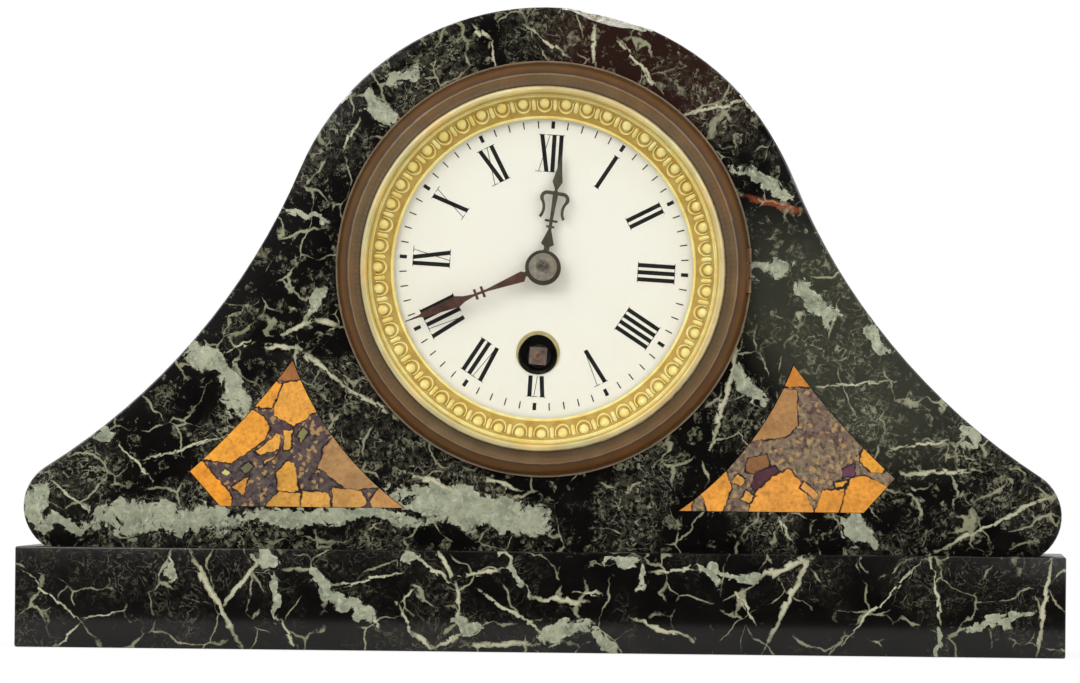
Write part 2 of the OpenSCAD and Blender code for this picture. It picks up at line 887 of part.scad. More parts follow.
module rear_ring() {
    color("#a9894f")
        at_dial()
            difference() {
                union() {
                    rotate_extrude()
                        union() {
                            translate([rear_in_r, rear_face - rear_t])
                                square([rear_r - rear_in_r, rear_t]);
                            translate([skirt_in_r, rear_face - rear_t])
                                square([skirt_t, rear_t + rear_skirt]);
                        }
                    for (s = [-1, 1])
                        scale([1, s, 1]) {
                            translate([door_hinge_x, door_hinge_len / 2, door_hinge_z])
                                rotate([90, 0, 0])
                                    cylinder(r = door_hinge_r, h = door_hinge_len / 3 - knuckle_gap);
                            translate([door_hinge_x - door_hinge_r, door_hinge_len / 6 + knuckle_gap,
                                door_hinge_z])
                                cube([door_hinge_r, door_hinge_len / 3 - knuckle_gap,
                                    rear_face - door_hinge_z]);
                        }
                }
                translate([door_hinge_x, door_hinge_len / 2 + cut, door_hinge_z])
                    rotate([90, 0, 0])
                        cylinder(r = door_pin_r + fit, h = door_hinge_len + 2 * cut);
                for (s = [-1, 1])
                    translate([0, s * strap_screw_at, 0])
                        turned(rear_face - rear_t - cut, rear_face + cut, strap_screw_r + slack);
            }
}

module rear_door() {
    tab = door_hinge_len / 3 - 2 * knuckle_gap;
    color("#b3924f")
        at_dial()
            difference() {
                union() {
                    turned(door_z - door_t, door_z, door_r);
                    rotate_extrude()
                        translate([door_r - door_bead_in, door_z - door_t])
                            circle(door_bead_r);
                    translate([door_hinge_x, tab / 2, door_hinge_z])
                        rotate([90, 0, 0])
                            cylinder(r = door_hinge_r, h = tab);
                    translate([door_hinge_x, -tab / 2, door_z - door_t])
                        cube([door_r + door_hinge_x + door_hinge_lap, tab, door_t]);
                }
                translate([door_hinge_x, door_hinge_len / 2, door_hinge_z])
                    rotate([90, 0, 0])
                        cylinder(r = door_pin_r + play, h = door_hinge_len);
                translate([knob_x, 0, 0])
                    turned(door_z - door_t - cut, door_z + cut, knob_stem_r + fit);
            }
}

module door_hinge_pin() {
    color("#8f8a80")
        at_dial()
            translate([door_hinge_x, door_hinge_len / 2, door_hinge_z])
                rotate([90, 0, 0])
                    cylinder(r = door_pin_r, h = door_hinge_len);
}

module door_knob() {
    color("#c0a060")
        at_dial()
            translate([knob_x, 0, 0]) {
                turned(door_z - door_t - knob_stem_len, door_z, knob_stem_r);
                translate([0, 0, door_z - door_t - knob_out])
                    sphere(knob_r);
            }
}

// Dial and hands

module dial() {
    color("#f1eee0")
        in_movement()
            translate([0, dial_shift, 0])
                difference() {
                    turned(dial_back, dial_face, dial_r);
                    turned(dial_back - cut, dial_face + cut, centre_hole_r);
                    translate(barrel_at)
                        turned(dial_back - cut, dial_face + cut, winding_r + eyelet_t + fit);
                }
}

module winding_eyelet() {
    color("#d9c27a")
        in_movement()
            translate([0, dial_shift, 0])
                translate(barrel_at)
                    rotate_extrude()
                        union() {
                            translate([winding_r, dial_back])
                                square([eyelet_t, dial_t + lap]);
                            translate([winding_r, dial_face])
                                square([eyelet_w, eyelet_t]);
                        }
}

module dial_feet() {
    color("#b06a3c")
        in_movement()
            translate([0, dial_shift, 0])
                for (p = dial_foot_at)
                    translate(p)
                        difference() {
                            turned(front_back - dial_foot_past, dial_back, dial_foot_r);
                            translate([0, -dial_foot_r - cut, front_back - dial_pin_r - fit])
                                rotate([-90, 0, 0])
                                    cylinder(r = dial_pin_r + fit, h = 2 * (dial_foot_r + cut));
                        }
}

module dial_pins() {
    color("#c9ab62")
        in_movement()
            translate([0, dial_shift, 0])
                for (p = dial_foot_at)
                    translate([p.x, p.y - dial_pin_len / 2, front_back - dial_pin_r - fit])
                        rotate([-90, 0, 0])
                            cylinder(r = dial_pin_r, h = dial_pin_len);
}

// Crossbar on a hand
module bar(y, half, t) {
    translate([-half, y - t / 2])
        square([2 * half, t]);
}

// Outline of the minute hand at the length at which it is drawn
module minute_outline() {
    polygon([[-0.7, 0], [-0.7, 5.2], [-1.45, 5.9], [-0.33, 16], [-0.33, 20], [-0.75, 22.6],
        [-1.55, 24.6], [-0.75, 34.4], [-0.3, 35.6], [-0.12, minute_drawn],
        [0.12, minute_drawn], [0.3, 35.6], [0.75, 34.4], [1.55, 24.6], [0.75, 22.6], [0.33, 20],
        [0.33, 16], [1.45, 5.9], [0.7, 5.2], [0.7, 0]]);
    bar(17.3, 1.55, 0.7);
    bar(19.3, 1.45, 0.7);
}

// Curved bar between two radii and two angles about a centre
module arc_bar(at, r, w, a0, a1) {
    translate(at)
        intersection() {
            difference() {
                circle(r + w / 2);
                circle(r - w / 2);
            }
            polygon([[0, 0], polar(2 * r + w, a0), polar(2 * r + w, (a0 + a1) / 2),
                polar(2 * r + w, a1)]);
        }
}

// Half of the lyre on the hour hand: a bar that leaves the stem, arches over and flicks out below
module lyre_arm() {
    translate([0, arch_c.y + arch_r - arch_w / 2])
        square([arch_c.x + lap, arch_w]);
    arc_bar(arch_c, arch_r, arch_w, -flick_at, 90);
    arc_bar(arch_c + polar(arch_r + flick_r, -flick_at), flick_r, flick_w, 178 - flick_at, 180 + flick_at);
}

// Outline of the hour hand at the length at which it is drawn
module hour_outline() {
    polygon([[-0.72, 0], [-0.72, 6], [-1.75, 6.7], [-0.45, 10.5], [-0.4, 13], [-0.7, 20.4],
        [-0.32, 21.5], [-1.35, 23.6], [-0.62, 27.4], [-0.12, hour_drawn],
        [0.12, hour_drawn], [0.62, 27.4], [1.35, 23.6], [0.32, 21.5], [0.7, 20.4], [0.4, 13],
        [0.45, 10.5], [1.75, 6.7], [0.72, 6], [0.72, 0]]);
    bar(11.4, 1.1, 0.6);
    bar(13, 1.7, 0.6);
    lyre_arm();
    mirror([1, 0])
        lyre_arm();
}

module hour_hand() {
    color("#3b3a32")
        in_movement()
            rotate([0, 0, -hour_at])
                difference() {
                    union() {
                        turned(hour_hand_z, hour_hand_z + hand_t, hub_r - hub_step);
                        translate([0, 0, hour_hand_z])
                            linear_extrude(hand_t)
                                scale([1, hour_len / hour_drawn])
                                    hour_outline();
                    }
                    turned(hour_hand_z - cut, hour_hand_z + hand_t + cut, hour_pipe_r + fit);
                }
}

module minute_hand() {
    color("#4a2f22")
        in_movement()
            rotate([0, 0, -minute_at])
                difference() {
                    union() {
                        turned(minute_hand_z, minute_hand_z + hand_t, hub_r);
                        translate([0, 0, minute_hand_z])
                            linear_extrude(hand_t)
                                scale([1, minute_len / minute_drawn])
                                    minute_outline();
                    }
                    turned(minute_hand_z - cut, minute_hand_z + hand_t + cut, cannon_r + fit);
                }
}

module hand_collet() {
    color("#a9a9a4")
        in_movement()
            rotate_extrude()
                difference() {
                    union() {
                        translate([0, collet_z])
                            square([collet_r, collet_t * 0.6]);
                        translate([0, collet_z])
                            square([collet_r - collet_step, collet_t]);
                    }
                    translate([0, collet_z - cut])
                        square([centre_r + fit, collet_t + 2 * cut]);
                }
}

module hand_pin() {
    color("#b9b2a2")
        in_movement()
            rotate([0, 0, -minute_at])
                translate([-hand_pin_len / 2, 0, collet_z + collet_t + hand_pin_r])
                    rotate([0, 90, 0])
                        cylinder(r = hand_pin_r, h = hand_pin_len);
}

// Plates and fixings

// Pivot holes of the arbors that run in both plates
module pivot_holes() {
    for (p = [intermediate_at, third_at, fourth_at])
        translate(p)
            turned(back_back - cut, front_face + cut, pivot_r + play);
}

module front_plate() {
    color("#c2a35a")
        in_movement()
            difference() {
                union() {
                    turned(front_back, front_face, plate_r);
                    translate(minute_wheel_at)
                        turned(front_face - fit, minute_wheel_z + stud_len, stud_r);
                }
                pivot_holes();
                turned(front_back - cut, front_face + cut, centre_r + play);
                translate(barrel_at)
                    turned(front_back - cut, front_face + cut, barrel_arbor_r + play);
                for (p = dial_foot_at)
                    translate([p.x, p.y + dial_shift])
                        turned(front_back - cut, front_face + cut, dial_foot_r + fit);
                for (p = pillar_at)
                    translate(p)
                        turned(front_back - cut, front_face + cut, pillar_end_r + fit);
                for (p = plate_screw_at)
                    translate(p)
                        turned(front_back - cut, front_face + cut, plate_screw_r + slack);
                for (p = [click_at, spring_foot])
                    translate(p)
                        turned(front_back - cut, front_face + cut, click_screw_r + fit);
            }
}

module back_plate() {
    color("#c2a35a")
        in_movement()
            difference() {
                turned(back_back, back_face, back_r);
                pivot_holes();
                turned(back_back - cut, back_face + cut, pivot_r + play);
                translate(barrel_at)
                    turned(back_back - cut, back_face + cut, barrel_pivot_r + play);
                translate(escape_at)
                    turned(back_back - cut, back_face + cut, escape_hole_r);
                for (p = pillar_at)
                    translate(p)
                        turned(back_back - cut, back_face + cut, pillar_screw_r + slack);
                for (p = platform_screw_at)
                    translate(p)
                        turned(back_back - cut, back_face + cut, platform_screw_r + fit);
            }
}

// Turned pillar with a ring at its middle and a long hollow in each half
module pillar_profile() {
    difference() {
        translate([0, back_face])
            square([pillar_r, plates_gap]);
        for (z = [back_face + hollow_z, front_back - hollow_z])
            translate([pillar_r - hollow_d + hollow_r, z])
                circle(hollow_r);
    }
}

module pillars() {
    color("#b89a55")
        in_movement()
            for (p = pillar_at)
                translate(p)
                    difference() {
                        union() {
                            rotate_extrude()
                                pillar_profile();
                            turned(front_back - cut, front_face, pillar_end_r);
                        }
                        turned(back_face - cut, back_face + pillar_hole_in, pillar_screw_r + fit);
                    }
}

module pillar_screws() {
    color("#5f6470")
        in_movement()
            for (p = pillar_at)
                translate([p.x, p.y, back_back])
                    rotate([180, 0, 0])
                        screw(pillar_screw_r, plate_t + pillar_screw_in, pillar_head);
}

module plate_screws() {
    color("#5f6470")
        in_movement()
            for (p = plate_screw_at)
                translate([p.x, p.y, front_face])
                    screw(plate_screw_r, plate_t + lip_t, plate_head);
}

// Barrel and winding work

module barrel() {
    color("#c4a45c")
        in_movement()
            translate(barrel_at)
                difference() {
                    union() {
                        turned(barrel_low, great_top, barrel_r);
                        translate([0, 0, great_top - great_t])
                            linear_extrude(great_t)
                                toothed(great_z, great_m, 1.3, 1.2, 0.4, 1, 1.35, 0);
                    }
                    turned(barrel_low - cut, great_top - barrel_floor_t, barrel_r - barrel_t);
                    turned(barrel_low, great_top + cut, barrel_arbor_r + play);
                }
}

module barrel_cap() {
    color("#b89a55")
        in_movement()
            translate(barrel_at)
                difference() {
                    turned(barrel_low, barrel_low + cap_t, barrel_r - barrel_t - fit);
                    turned(barrel_low - cut, barrel_low + cap_t + cut, barrel_arbor_r + play);
                }
}

module mainspring() {
    color("#5a5f6a")
        in_movement()
            translate([barrel_at.x, barrel_at.y, barrel_low + cap_t + slack])
                linear_extrude(great_top - barrel_floor_t - barrel_low - cap_t - 2 * slack)
                    spiral(spring_in_r, spring_out_r, spring_turns, spring_t, 20);
}

module barrel_arbor() {
    color("#8d8a86")
        in_movement()
            translate(barrel_at)
                difference() {
                    union() {
                        turned(back_face + slack, ratchet_z + ratchet_t, barrel_arbor_r);
                        turned(back_back, back_face + slack, barrel_pivot_r);
                        intersection() {
                            turned(ratchet_z, dial_back + square_end, barrel_arbor_r);
                            translate([-square_w / 2, -square_w / 2, ratchet_z])
                                cube([square_w, square_w, dial_face - ratchet_z]);
                        }
                    }
                    turned(dial_back, dial_face, dimple_r);
                }
}

module ratchet_wheel() {
    step = 360 / ratchet_teeth;
    color("#7c7f86")
        in_movement()
            translate([barrel_at.x, barrel_at.y, ratchet_z])
                linear_extrude(ratchet_t)
                    difference() {
                        polygon([for (i = [0 : ratchet_teeth - 1], k = [0, 1])
                            polar(ratchet_r - k * ratchet_depth, step * (i + 0.15 * k))]);
                        circle(barrel_arbor_r + fit);
                    }
}

module click() {
    dir = click_nose - click_at;
    way = atan2(dir.y, dir.x);
    color("#70737c")
        in_movement()
            translate([click_at.x, click_at.y, 0])
                difference() {
                    union() {
                        turned(ratchet_z, ratchet_z + click_t, click_r);
                        translate([0, 0, ratchet_z])
                            linear_extrude(click_t)
                                polygon([polar(click_r, way + 90), dir,
                                    dir + polar(click_nose_w, bearing(barrel_at, click_nose)),
                                    polar(click_r, way - 90)]);
                    }
                    turned(front_face - cut, dial_back, click_screw_r + play);
                }
}

module click_spring() {
    tip = click_nose + polar(spring_leaf_off, bearing(barrel_at, click_nose));
    leaf = tip - spring_foot;
    side = spring_leaf_t / 2 * [-leaf.y, leaf.x] / norm(leaf);
    color("#7a7f8a")
        in_movement()
            translate([0, 0, front_face])
                difference() {
                    union() {
                        translate(spring_foot)
                            cylinder(r = spring_foot_r, h = ratchet_lift + click_t);
                        translate([0, 0, ratchet_lift])
                            linear_extrude(click_t)
                                polygon([spring_foot - side, tip - side, tip + side,
                                    spring_foot + side]);
                    }
                    translate(spring_foot)
                        turned(-cut, ratchet_lift + click_t + cut, click_screw_r + slack);
                }
}

module click_screws() {
    color("#5f6470")
        in_movement()
            for (p = [click_at, spring_foot])
                translate([p.x, p.y, ratchet_z + click_t + slack])
                    screw(click_screw_r, ratchet_lift + click_t + slack + plate_t, click_head);
}

// Going train

module intermediate_wheel() {
    color("#c9aa5e")
        in_movement()
            translate([intermediate_at.x, intermediate_at.y, intermediate_wheel_z])
                wheel(intermediate_z, intermediate_m, 0, wheel_t, great_hub_r, arbor_r + fit);
}

module intermediate_arbor() {
    top = intermediate_wheel_z - fit;
    len = great_t + 2 * leaf_past;
    color("#8d8f94")
        in_movement()
            translate(intermediate_at) {
                arbor();
                translate([0, 0, top - len])
                    leaves(intermediate_leaves, great_m,
                        mate(barrel_at, 0, great_z, intermediate_at, intermediate_leaves), len);
            }
}

module centre_wheel() {
    color("#c9aa5e")
        in_movement()
            translate([0, 0, centre_wheel_z])
                wheel(centre_z, centre_m, 0, wheel_t, great_hub_r, centre_r + fit);
}

module centre_arbor() {
    color("#8d8f94")
        in_movement()
            difference() {
                union() {
                    turned(back_face + slack, arbor_end, centre_r);
                    turned(back_back + pivot_in, back_face + slack, pivot_r);
                    translate([0, 0, intermediate_wheel_z - leaf_past])
                        leaves(centre_leaves, intermediate_m,
                            mate(intermediate_at, 0, intermediate_z, centre_at, centre_leaves),
                            wheel_t + 2 * leaf_past);
                }
                rotate([0, 0, -minute_at])
                    translate([-centre_r - cut, 0, collet_z + collet_t + hand_pin_r])
                        rotate([0, 90, 0])
                            cylinder(r = hand_pin_r + fit, h = 2 * (centre_r + cut));
            }
}

module third_wheel() {
    color("#c9aa5e")
        in_movement()
            translate([third_at.x, third_at.y, third_wheel_z])
                wheel(third_z, third_m, 0, wheel_t, third_hub_r, arbor_r + fit);
}

module third_arbor() {
    color("#8d8f94")
        in_movement()
            translate(third_at) {
                arbor();
                translate([0, 0, centre_wheel_z - leaf_past])
                    leaves(third_leaves, centre_m,
                        mate(centre_at, 0, centre_z, third_at, third_leaves), wheel_t + 2 * leaf_past);
            }
}

module fourth_wheel() {
    color("#c9aa5e")
        in_movement()
            translate([fourth_at.x, fourth_at.y, fourth_wheel_z])
                wheel(fourth_z, fourth_m, 0, wheel_t, fourth_hub_r, arbor_r + fit);
}

module fourth_arbor() {
    color("#8d8f94")
        in_movement()
            translate(fourth_at) {
                arbor();
                translate([0, 0, third_wheel_z - leaf_past])
                    leaves(fourth_leaves, third_m,
                        mate(third_at, 0, third_z, fourth_at, fourth_leaves), wheel_t + 2 * leaf_past);
            }
}

// Motion work under the dial

module cannon_pinion() {
    color("#8d8f94")
        in_movement()
            difference() {
                union() {
                    turned(cannon_z, minute_hand_z + hand_t, cannon_r);
                    translate([0, 0, cannon_z])
                        leaves(cannon_leaves, minute_m, 0, cannon_len);
                }
                turned(cannon_z - cut, collet_z + cut, pipe_in_r);
            }
}

module minute_wheel() {
    color("#c9aa5e")
        in_movement()
            translate([minute_wheel_at.x, minute_wheel_at.y, minute_wheel_z])
                difference() {
                    union() {
                        wheel(minute_z, minute_m,
                            mate(centre_at, 0, cannon_leaves, minute_wheel_at, minute_z),
                            wheel_t, minute_hub_r, stud_r + play);
                        turned(0, wheel_t + minute_leaf_len, stud_r + minute_pipe_w);
                        translate([0, 0, wheel_t])
                            leaves(minute_leaves, hour_m,
                                mate(centre_at, 0, hour_z, minute_wheel_at, minute_leaves),
                                minute_leaf_len);
                    }
                    turned(-cut, wheel_t + minute_leaf_len + cut, stud_r + play);
                }
}

module hour_wheel() {
    color("#c9aa5e")
        in_movement()
            difference() {
                union() {
                    translate([0, 0, hour_wheel_z])
                        wheel(hour_z, hour_m, 0, wheel_t, hour_hub_r, hour_pipe_in);
                    turned(hour_wheel_z, hour_hand_z + hand_t, hour_pipe_r);
                }
                turned(hour_wheel_z - cut, minute_hand_z + cut, hour_pipe_in);
            }
}

// Lever platform on the back plate

module platform_plate() {
    color("#cdb87a")
        in_movement()
            difference() {
                union() {
                    translate([platform_x0, platform_y0, platform_back])
                        cube([platform_x1 - platform_x0, platform_y1 - platform_y0, platform_t]);
                    for (s = [-1, 1])
                        translate([lever_at.x - 2.6, lever_at.y + s * 0.95])
                            turned(lever_z, platform_back + fit, 0.3);
                }
                for (p = platform_screw_at)
                    translate(p)
                        turned(platform_back - cut, back_back + cut, platform_screw_r + slack);
                translate(escape_at)
                    turned(platform_back - cut, back_back + cut, arbor_r - 0.2 + play);
                for (p = [lever_at, balance_at])
                    translate(p)
                        turned(platform_back - cut, back_back + cut, staff_pivot_r + play);
            }
}

module escape_wheel() {
    color("#d8c070")
        in_movement()
            translate([escape_at.x, escape_at.y, lever_z - lever_t])
                linear_extrude(lever_t)
                    difference() {
                        polygon([for (i = [0 : 14], k = [[escape_r, 0], [escape_r, 4],
                            [escape_r - 1, 9], [escape_r - 1, 21]])
                            polar(k[0], 24 * i + k[1])]);
                        circle(arbor_r - 0.2 + fit);
                        for (i = [0 : 3])
                            rotate(45 + 90 * i)
                                translate([1.7, 0])
                                    circle(0.5);
                    }
}

module escape_arbor() {
    color("#8d8f94")
        in_movement()
            translate(escape_at) {
                turned(cock_z, fourth_wheel_z + wheel_t + 0.4, arbor_r - 0.2);
                turned(cock_z - cock_t, cock_z, staff_pivot_r);
                translate([0, 0, fourth_wheel_z - 0.4])
                    leaves(escape_leaves, fourth_m,
                        mate(fourth_at, 0, fourth_z, escape_at, escape_leaves), wheel_t + 0.8);
            }
}

module pallet_lever() {
    reach = escape_r + 0.45;
    fork = balance_gap - 1.5;
    color("#9a9ca2")
        in_movement()
            translate(lever_at) {
                turned(cock_z + slack, platform_back - slack, staff_r);
                turned(cock_z - cock_t, platform_back + platform_t - 0.4, staff_pivot_r);
                translate([0, 0, lever_z - lever_t])
                    linear_extrude(lever_t)
                        union() {
                            translate([-fork, -0.3])
                                square([fork, 0.6]);
                            for (s = [-1, 1]) {
                                translate([-fork, s * 0.35 - 0.15])
                                    square([0.8, 0.3]);
                                polygon([[-0.5, 0], [0.4, 0],
                                    [lever_gap, 0] + polar(reach, 180 - s * 52),
                                    [lever_gap, 0] + polar(reach + 0.5, 180 - s * 50),
                                    [lever_gap, 0] + polar(reach + 1.1, 180 - s * 20)]);
                            }
                            circle(0.9);
                        }
            }
}

module balance_wheel() {
    color("#cdb063")
        in_movement()
            translate(balance_at) {
                turned(bridge_z + slack, platform_back - slack, staff_r);
                turned(bridge_z - bridge_t + 0.3, platform_back + platform_t - 0.4, staff_pivot_r);
                turned(lever_z - 1.2, lever_z - 0.8, 1.25);
                translate([0.9, 0])
                    turned(lever_z - 1, lever_z - 0.1, 0.2);
                translate([0, 0, balance_z - balance_t])
                    linear_extrude(balance_t)
                        union() {
                            difference() {
                                circle(balance_r);
                                circle(balance_r - 0.8);
                            }
                            circle(1.2);
                            rotate(20)
                                translate([-balance_r + 0.4, -0.4])
                                    square([2 * balance_r - 0.8, 0.8]);
                        }
            }
}

module hairspring() {
    color("#4d5a78")
        in_movement()
            translate([balance_at.x, balance_at.y, hair_z - hair_t])
                linear_extrude(hair_t)
                    rotate(90)
                        spiral(hair_in_r, hair_r, hair_turns, hair_w, 24);
}

module balance_cock() {
    color("#c2a35a")
        in_movement()
            difference() {
                union() {
                    translate([balance_at.x - bridge_w / 2, bridge_foot_y, bridge_z - bridge_t])
                        cube([bridge_w, platform_y1 - 0.4 - bridge_foot_y,
                            platform_back - bridge_z + bridge_t]);
                    translate([balance_at.x - bridge_w / 2, balance_at.y, bridge_z - bridge_t])
                        cube([bridge_w, bridge_foot_y - balance_at.y, bridge_t]);
                    translate(balance_at)
                        turned(bridge_z - bridge_t, bridge_z, bridge_w / 2);
                    translate([balance_at.x - 0.5, balance_at.y + hair_r + hair_w / 2 + fit,
                        bridge_z - bridge_t])
                        cube([1, 0.8, hair_z - bridge_z + bridge_t]);
                }
                translate(balance_at)
                    turned(bridge_z - bridge_t - cut, bridge_z + cut, staff_pivot_r + play);
            }
}

module lever_cock() {
    color("#c2a35a")
        in_movement()
            difference() {
                union() {
                    translate([cock_foot_x, escape_at.y - cock_w / 2, cock_z - cock_t])
                        cube([platform_x1 - 0.4 - cock_foot_x, cock_w, platform_back - cock_z + cock_t]);
                    translate([lever_at.x - 1.4, escape_at.y - cock_w / 2, cock_z - cock_t])
                        cube([cock_foot_x - lever_at.x + 1.4, cock_w, cock_t]);
                }
                for (p = [escape_at, lever_at])
                    translate(p)
                        turned(cock_z - cock_t - cut, cock_z + cut, staff_pivot_r + play);
            }
}

module regulator() {
    color("#6f737d")
        in_movement()
            translate([balance_at.x, balance_at.y, bridge_z - bridge_t - index_t])
                linear_extrude(index_t)
                    difference() {
                        union() {
                            circle(2);
                            polygon([[-0.6, 0], [-0.25, -9], [0.25, -9], [0.6, 0]]);
                        }
                        circle(0.6);
                    }
}

module platform_screws() {
    color("#5f6470")
        in_movement()
            for (p = platform_screw_at)
                translate([p.x, p.y, platform_back])
                    rotate([180, 0, 0])
                        screw(platform_screw_r, platform_t + plate_t, platform_head);
}

plinth();
case_body();
inlay_left();
inlay_right();
tie_rods();
tie_washers();
tie_nuts();
bezel_seat();
front_bezel();
bezel_hinge_pin();
glass();
sight_ring();
straps();
strap_screws();
rear_ring();
rear_door();
door_hinge_pin();
door_knob();
dial();
winding_eyelet();
dial_feet();
dial_pins();
hour_hand();
minute_hand();
hand_collet();
hand_pin();
front_plate();
back_plate();
pillars();
pillar_screws();
plate_screws();
barrel();
barrel_cap();
mainspring();
barrel_arbor();
ratchet_wheel();
click();
click_spring();
click_screws();
intermediate_wheel();
intermediate_arbor();
centre_wheel();
centre_arbor();
third_wheel();
third_arbor();
fourth_wheel();
fourth_arbor();
cannon_pinion();
minute_wheel();
hour_wheel();
platform_plate();
escape_wheel();
escape_arbor();
pallet_lever();
balance_wheel();
hairspring();
balance_cock();
lever_cock();
regulator();
platform_screws();
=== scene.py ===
import json
from math import copysign, cos, pi, radians, sin

import bmesh
import bpy
from mathutils import Matrix, Vector

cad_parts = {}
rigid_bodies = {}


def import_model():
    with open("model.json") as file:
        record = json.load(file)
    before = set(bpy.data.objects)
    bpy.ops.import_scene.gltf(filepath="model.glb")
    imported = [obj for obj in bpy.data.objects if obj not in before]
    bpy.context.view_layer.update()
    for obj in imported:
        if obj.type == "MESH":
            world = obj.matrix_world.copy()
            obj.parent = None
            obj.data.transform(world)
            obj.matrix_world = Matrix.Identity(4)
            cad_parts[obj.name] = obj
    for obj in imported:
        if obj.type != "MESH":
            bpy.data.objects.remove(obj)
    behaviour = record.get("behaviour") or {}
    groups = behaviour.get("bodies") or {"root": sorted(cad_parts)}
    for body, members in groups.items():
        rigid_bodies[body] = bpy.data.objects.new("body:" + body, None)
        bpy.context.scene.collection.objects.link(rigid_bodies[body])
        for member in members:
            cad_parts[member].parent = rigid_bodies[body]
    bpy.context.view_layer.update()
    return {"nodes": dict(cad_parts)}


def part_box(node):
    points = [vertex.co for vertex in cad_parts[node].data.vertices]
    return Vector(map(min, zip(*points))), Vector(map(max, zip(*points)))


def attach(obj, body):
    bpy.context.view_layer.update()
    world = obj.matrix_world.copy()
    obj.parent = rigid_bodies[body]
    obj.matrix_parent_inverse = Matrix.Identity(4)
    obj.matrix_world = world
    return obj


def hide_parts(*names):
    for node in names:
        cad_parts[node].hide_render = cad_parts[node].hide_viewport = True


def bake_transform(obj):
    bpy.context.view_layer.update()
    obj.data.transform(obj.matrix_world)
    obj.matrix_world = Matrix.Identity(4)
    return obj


for stray in list(bpy.data.objects):
    bpy.data.objects.remove(stray)
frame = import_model()
solids = frame["nodes"]
scene = bpy.context.scene
scene.view_settings.view_transform = "Standard"

# Camera
# It stands two and a half metres in front of the clock, to its right and hardly higher than the plinth, with a long
# lens. It leans by half a degree, so the clock leans the other way in the picture.
MM = 0.001
PICTURE_WIDE = 1080
FOCAL = 9168
PITCH_UP = 0.627
TURN_LEFT = 2.543
LEAN = 0.595
STAND = (0.1086, -2.5, 0.0565)
bpy.ops.object.camera_add()
camera = bpy.context.object
camera.name = "camera"
camera.data.sensor_width = 36
camera.data.lens = 36 * FOCAL / PICTURE_WIDE
camera.data.clip_end = 20
camera.matrix_world = (Matrix.Translation(STAND)
                       @ Matrix.Rotation(radians(TURN_LEFT), 4, "Z")
                       @ Matrix.Rotation(radians(90 + PITCH_UP), 4, "X")
                       @ Matrix.Rotation(radians(LEAN), 4, "Z"))
scene.camera = camera


# Studio
# A tent of white paper, brightest in front, lights the clock evenly. What shines mirrors a dark opening round the
# camera, so polished stone stays black. The paper runs under the clock as a floor, and two soft lamps stand in front.
def paint(written):
    """The linear colour of a written one."""
    parts = [int(written[i:i + 2], 16) / 255 for i in (1, 3, 5)]
    return tuple(p / 12.92 if p <= 0.04045 else ((p + 0.055) / 1.055) ** 2.4 for p in parts) + (1.0,)


def add(tree, kind, inputs=None, **settings):
    """A new node with its settings, and its sockets filled or linked."""
    node = tree.nodes.new("ShaderNode" + kind)
    for name, value in settings.items():
        setattr(node, name, value)
    for key, value in (inputs or {}).items():
        socket = node.inputs[key] if isinstance(key, int) else next(
            s for s in node.inputs if s.enabled and s.name == key)
        if isinstance(value, bpy.types.Node):
            value = next(s for s in value.outputs if s.enabled)
        if isinstance(value, bpy.types.NodeSocket):
            tree.links.new(value, socket)
        else:
            socket.default_value = value
    return node


def blank(name):
    """A new material with an empty tree, and the point being shaded in millimetres."""
    finish = bpy.data.materials.new(name)
    finish.use_nodes = True
    tree = finish.node_tree
    tree.nodes.clear()
    place = add(tree, "TexCoord").outputs["Object"]
    return finish, tree, add(tree, "VectorMath", {0: place, "Scale": 1000}, operation="SCALE")


OPENING, TENT, FRONT = 0.02, 0.55, 1.3
scene.world = bpy.data.worlds.new("studio")
scene.world.use_nodes = True
tree = scene.world.node_tree
tree.nodes.clear()
ray = add(tree, "LightPath")
shown = add(tree, "Math", {0: ray.outputs["Is Camera Ray"], 1: ray.outputs["Is Transmission Ray"]},
            operation="MAXIMUM")
first = [add(tree, "Math", {0: ray.outputs[bounce], 1: 0.5}, operation="LESS_THAN")
         for bounce in ("Glossy Depth", "Diffuse Depth")]
for straight in first:
    shown = add(tree, "Math", {0: shown, 1: straight}, operation="MULTIPLY")
shiny = add(tree, "Math", {0: ray.outputs["Is Glossy Ray"], 1: first[1]}, operation="MULTIPLY")
way = add(tree, "SeparateXYZ", {0: add(tree, "TexCoord").outputs["Generated"]})
mirrored = add(tree, "MapRange", {"Value": way.outputs["Y"], "From Min": -0.94, "From Max": -0.72,
                                  "To Min": OPENING, "To Max": TENT})
soft = add(tree, "MapRange", {"Value": way.outputs["Y"], "From Min": -0.9, "From Max": -0.4,
                              "To Min": FRONT, "To Max": TENT})
around = add(tree, "Mix", {"Factor": shiny, "A": soft, "B": mirrored}, data_type="FLOAT")
level = add(tree, "Mix", {"Factor": shown, "A": around, "B": 1.0}, data_type="FLOAT")
sky = add(tree, "Background", {"Color": (1, 1, 1, 1), "Strength": level})
add(tree, "OutputWorld", {"Surface": sky})

for lamp, spot, wide, watts in (("lamp_left", (-0.85, -1.15, 0.95), 0.7, 6.5),
                                ("lamp_right", (0.95, -1.05, 0.75), 0.9, 4.5)):
    bpy.ops.object.light_add(type="AREA", location=spot)
    light = bpy.context.object
    light.name = lamp
    light.rotation_euler = (Vector((0, 0, 0.09)) - Vector(spot)).to_track_quat("-Z", "Y").to_euler()
    light.data.size = wide
    light.data.energy = watts

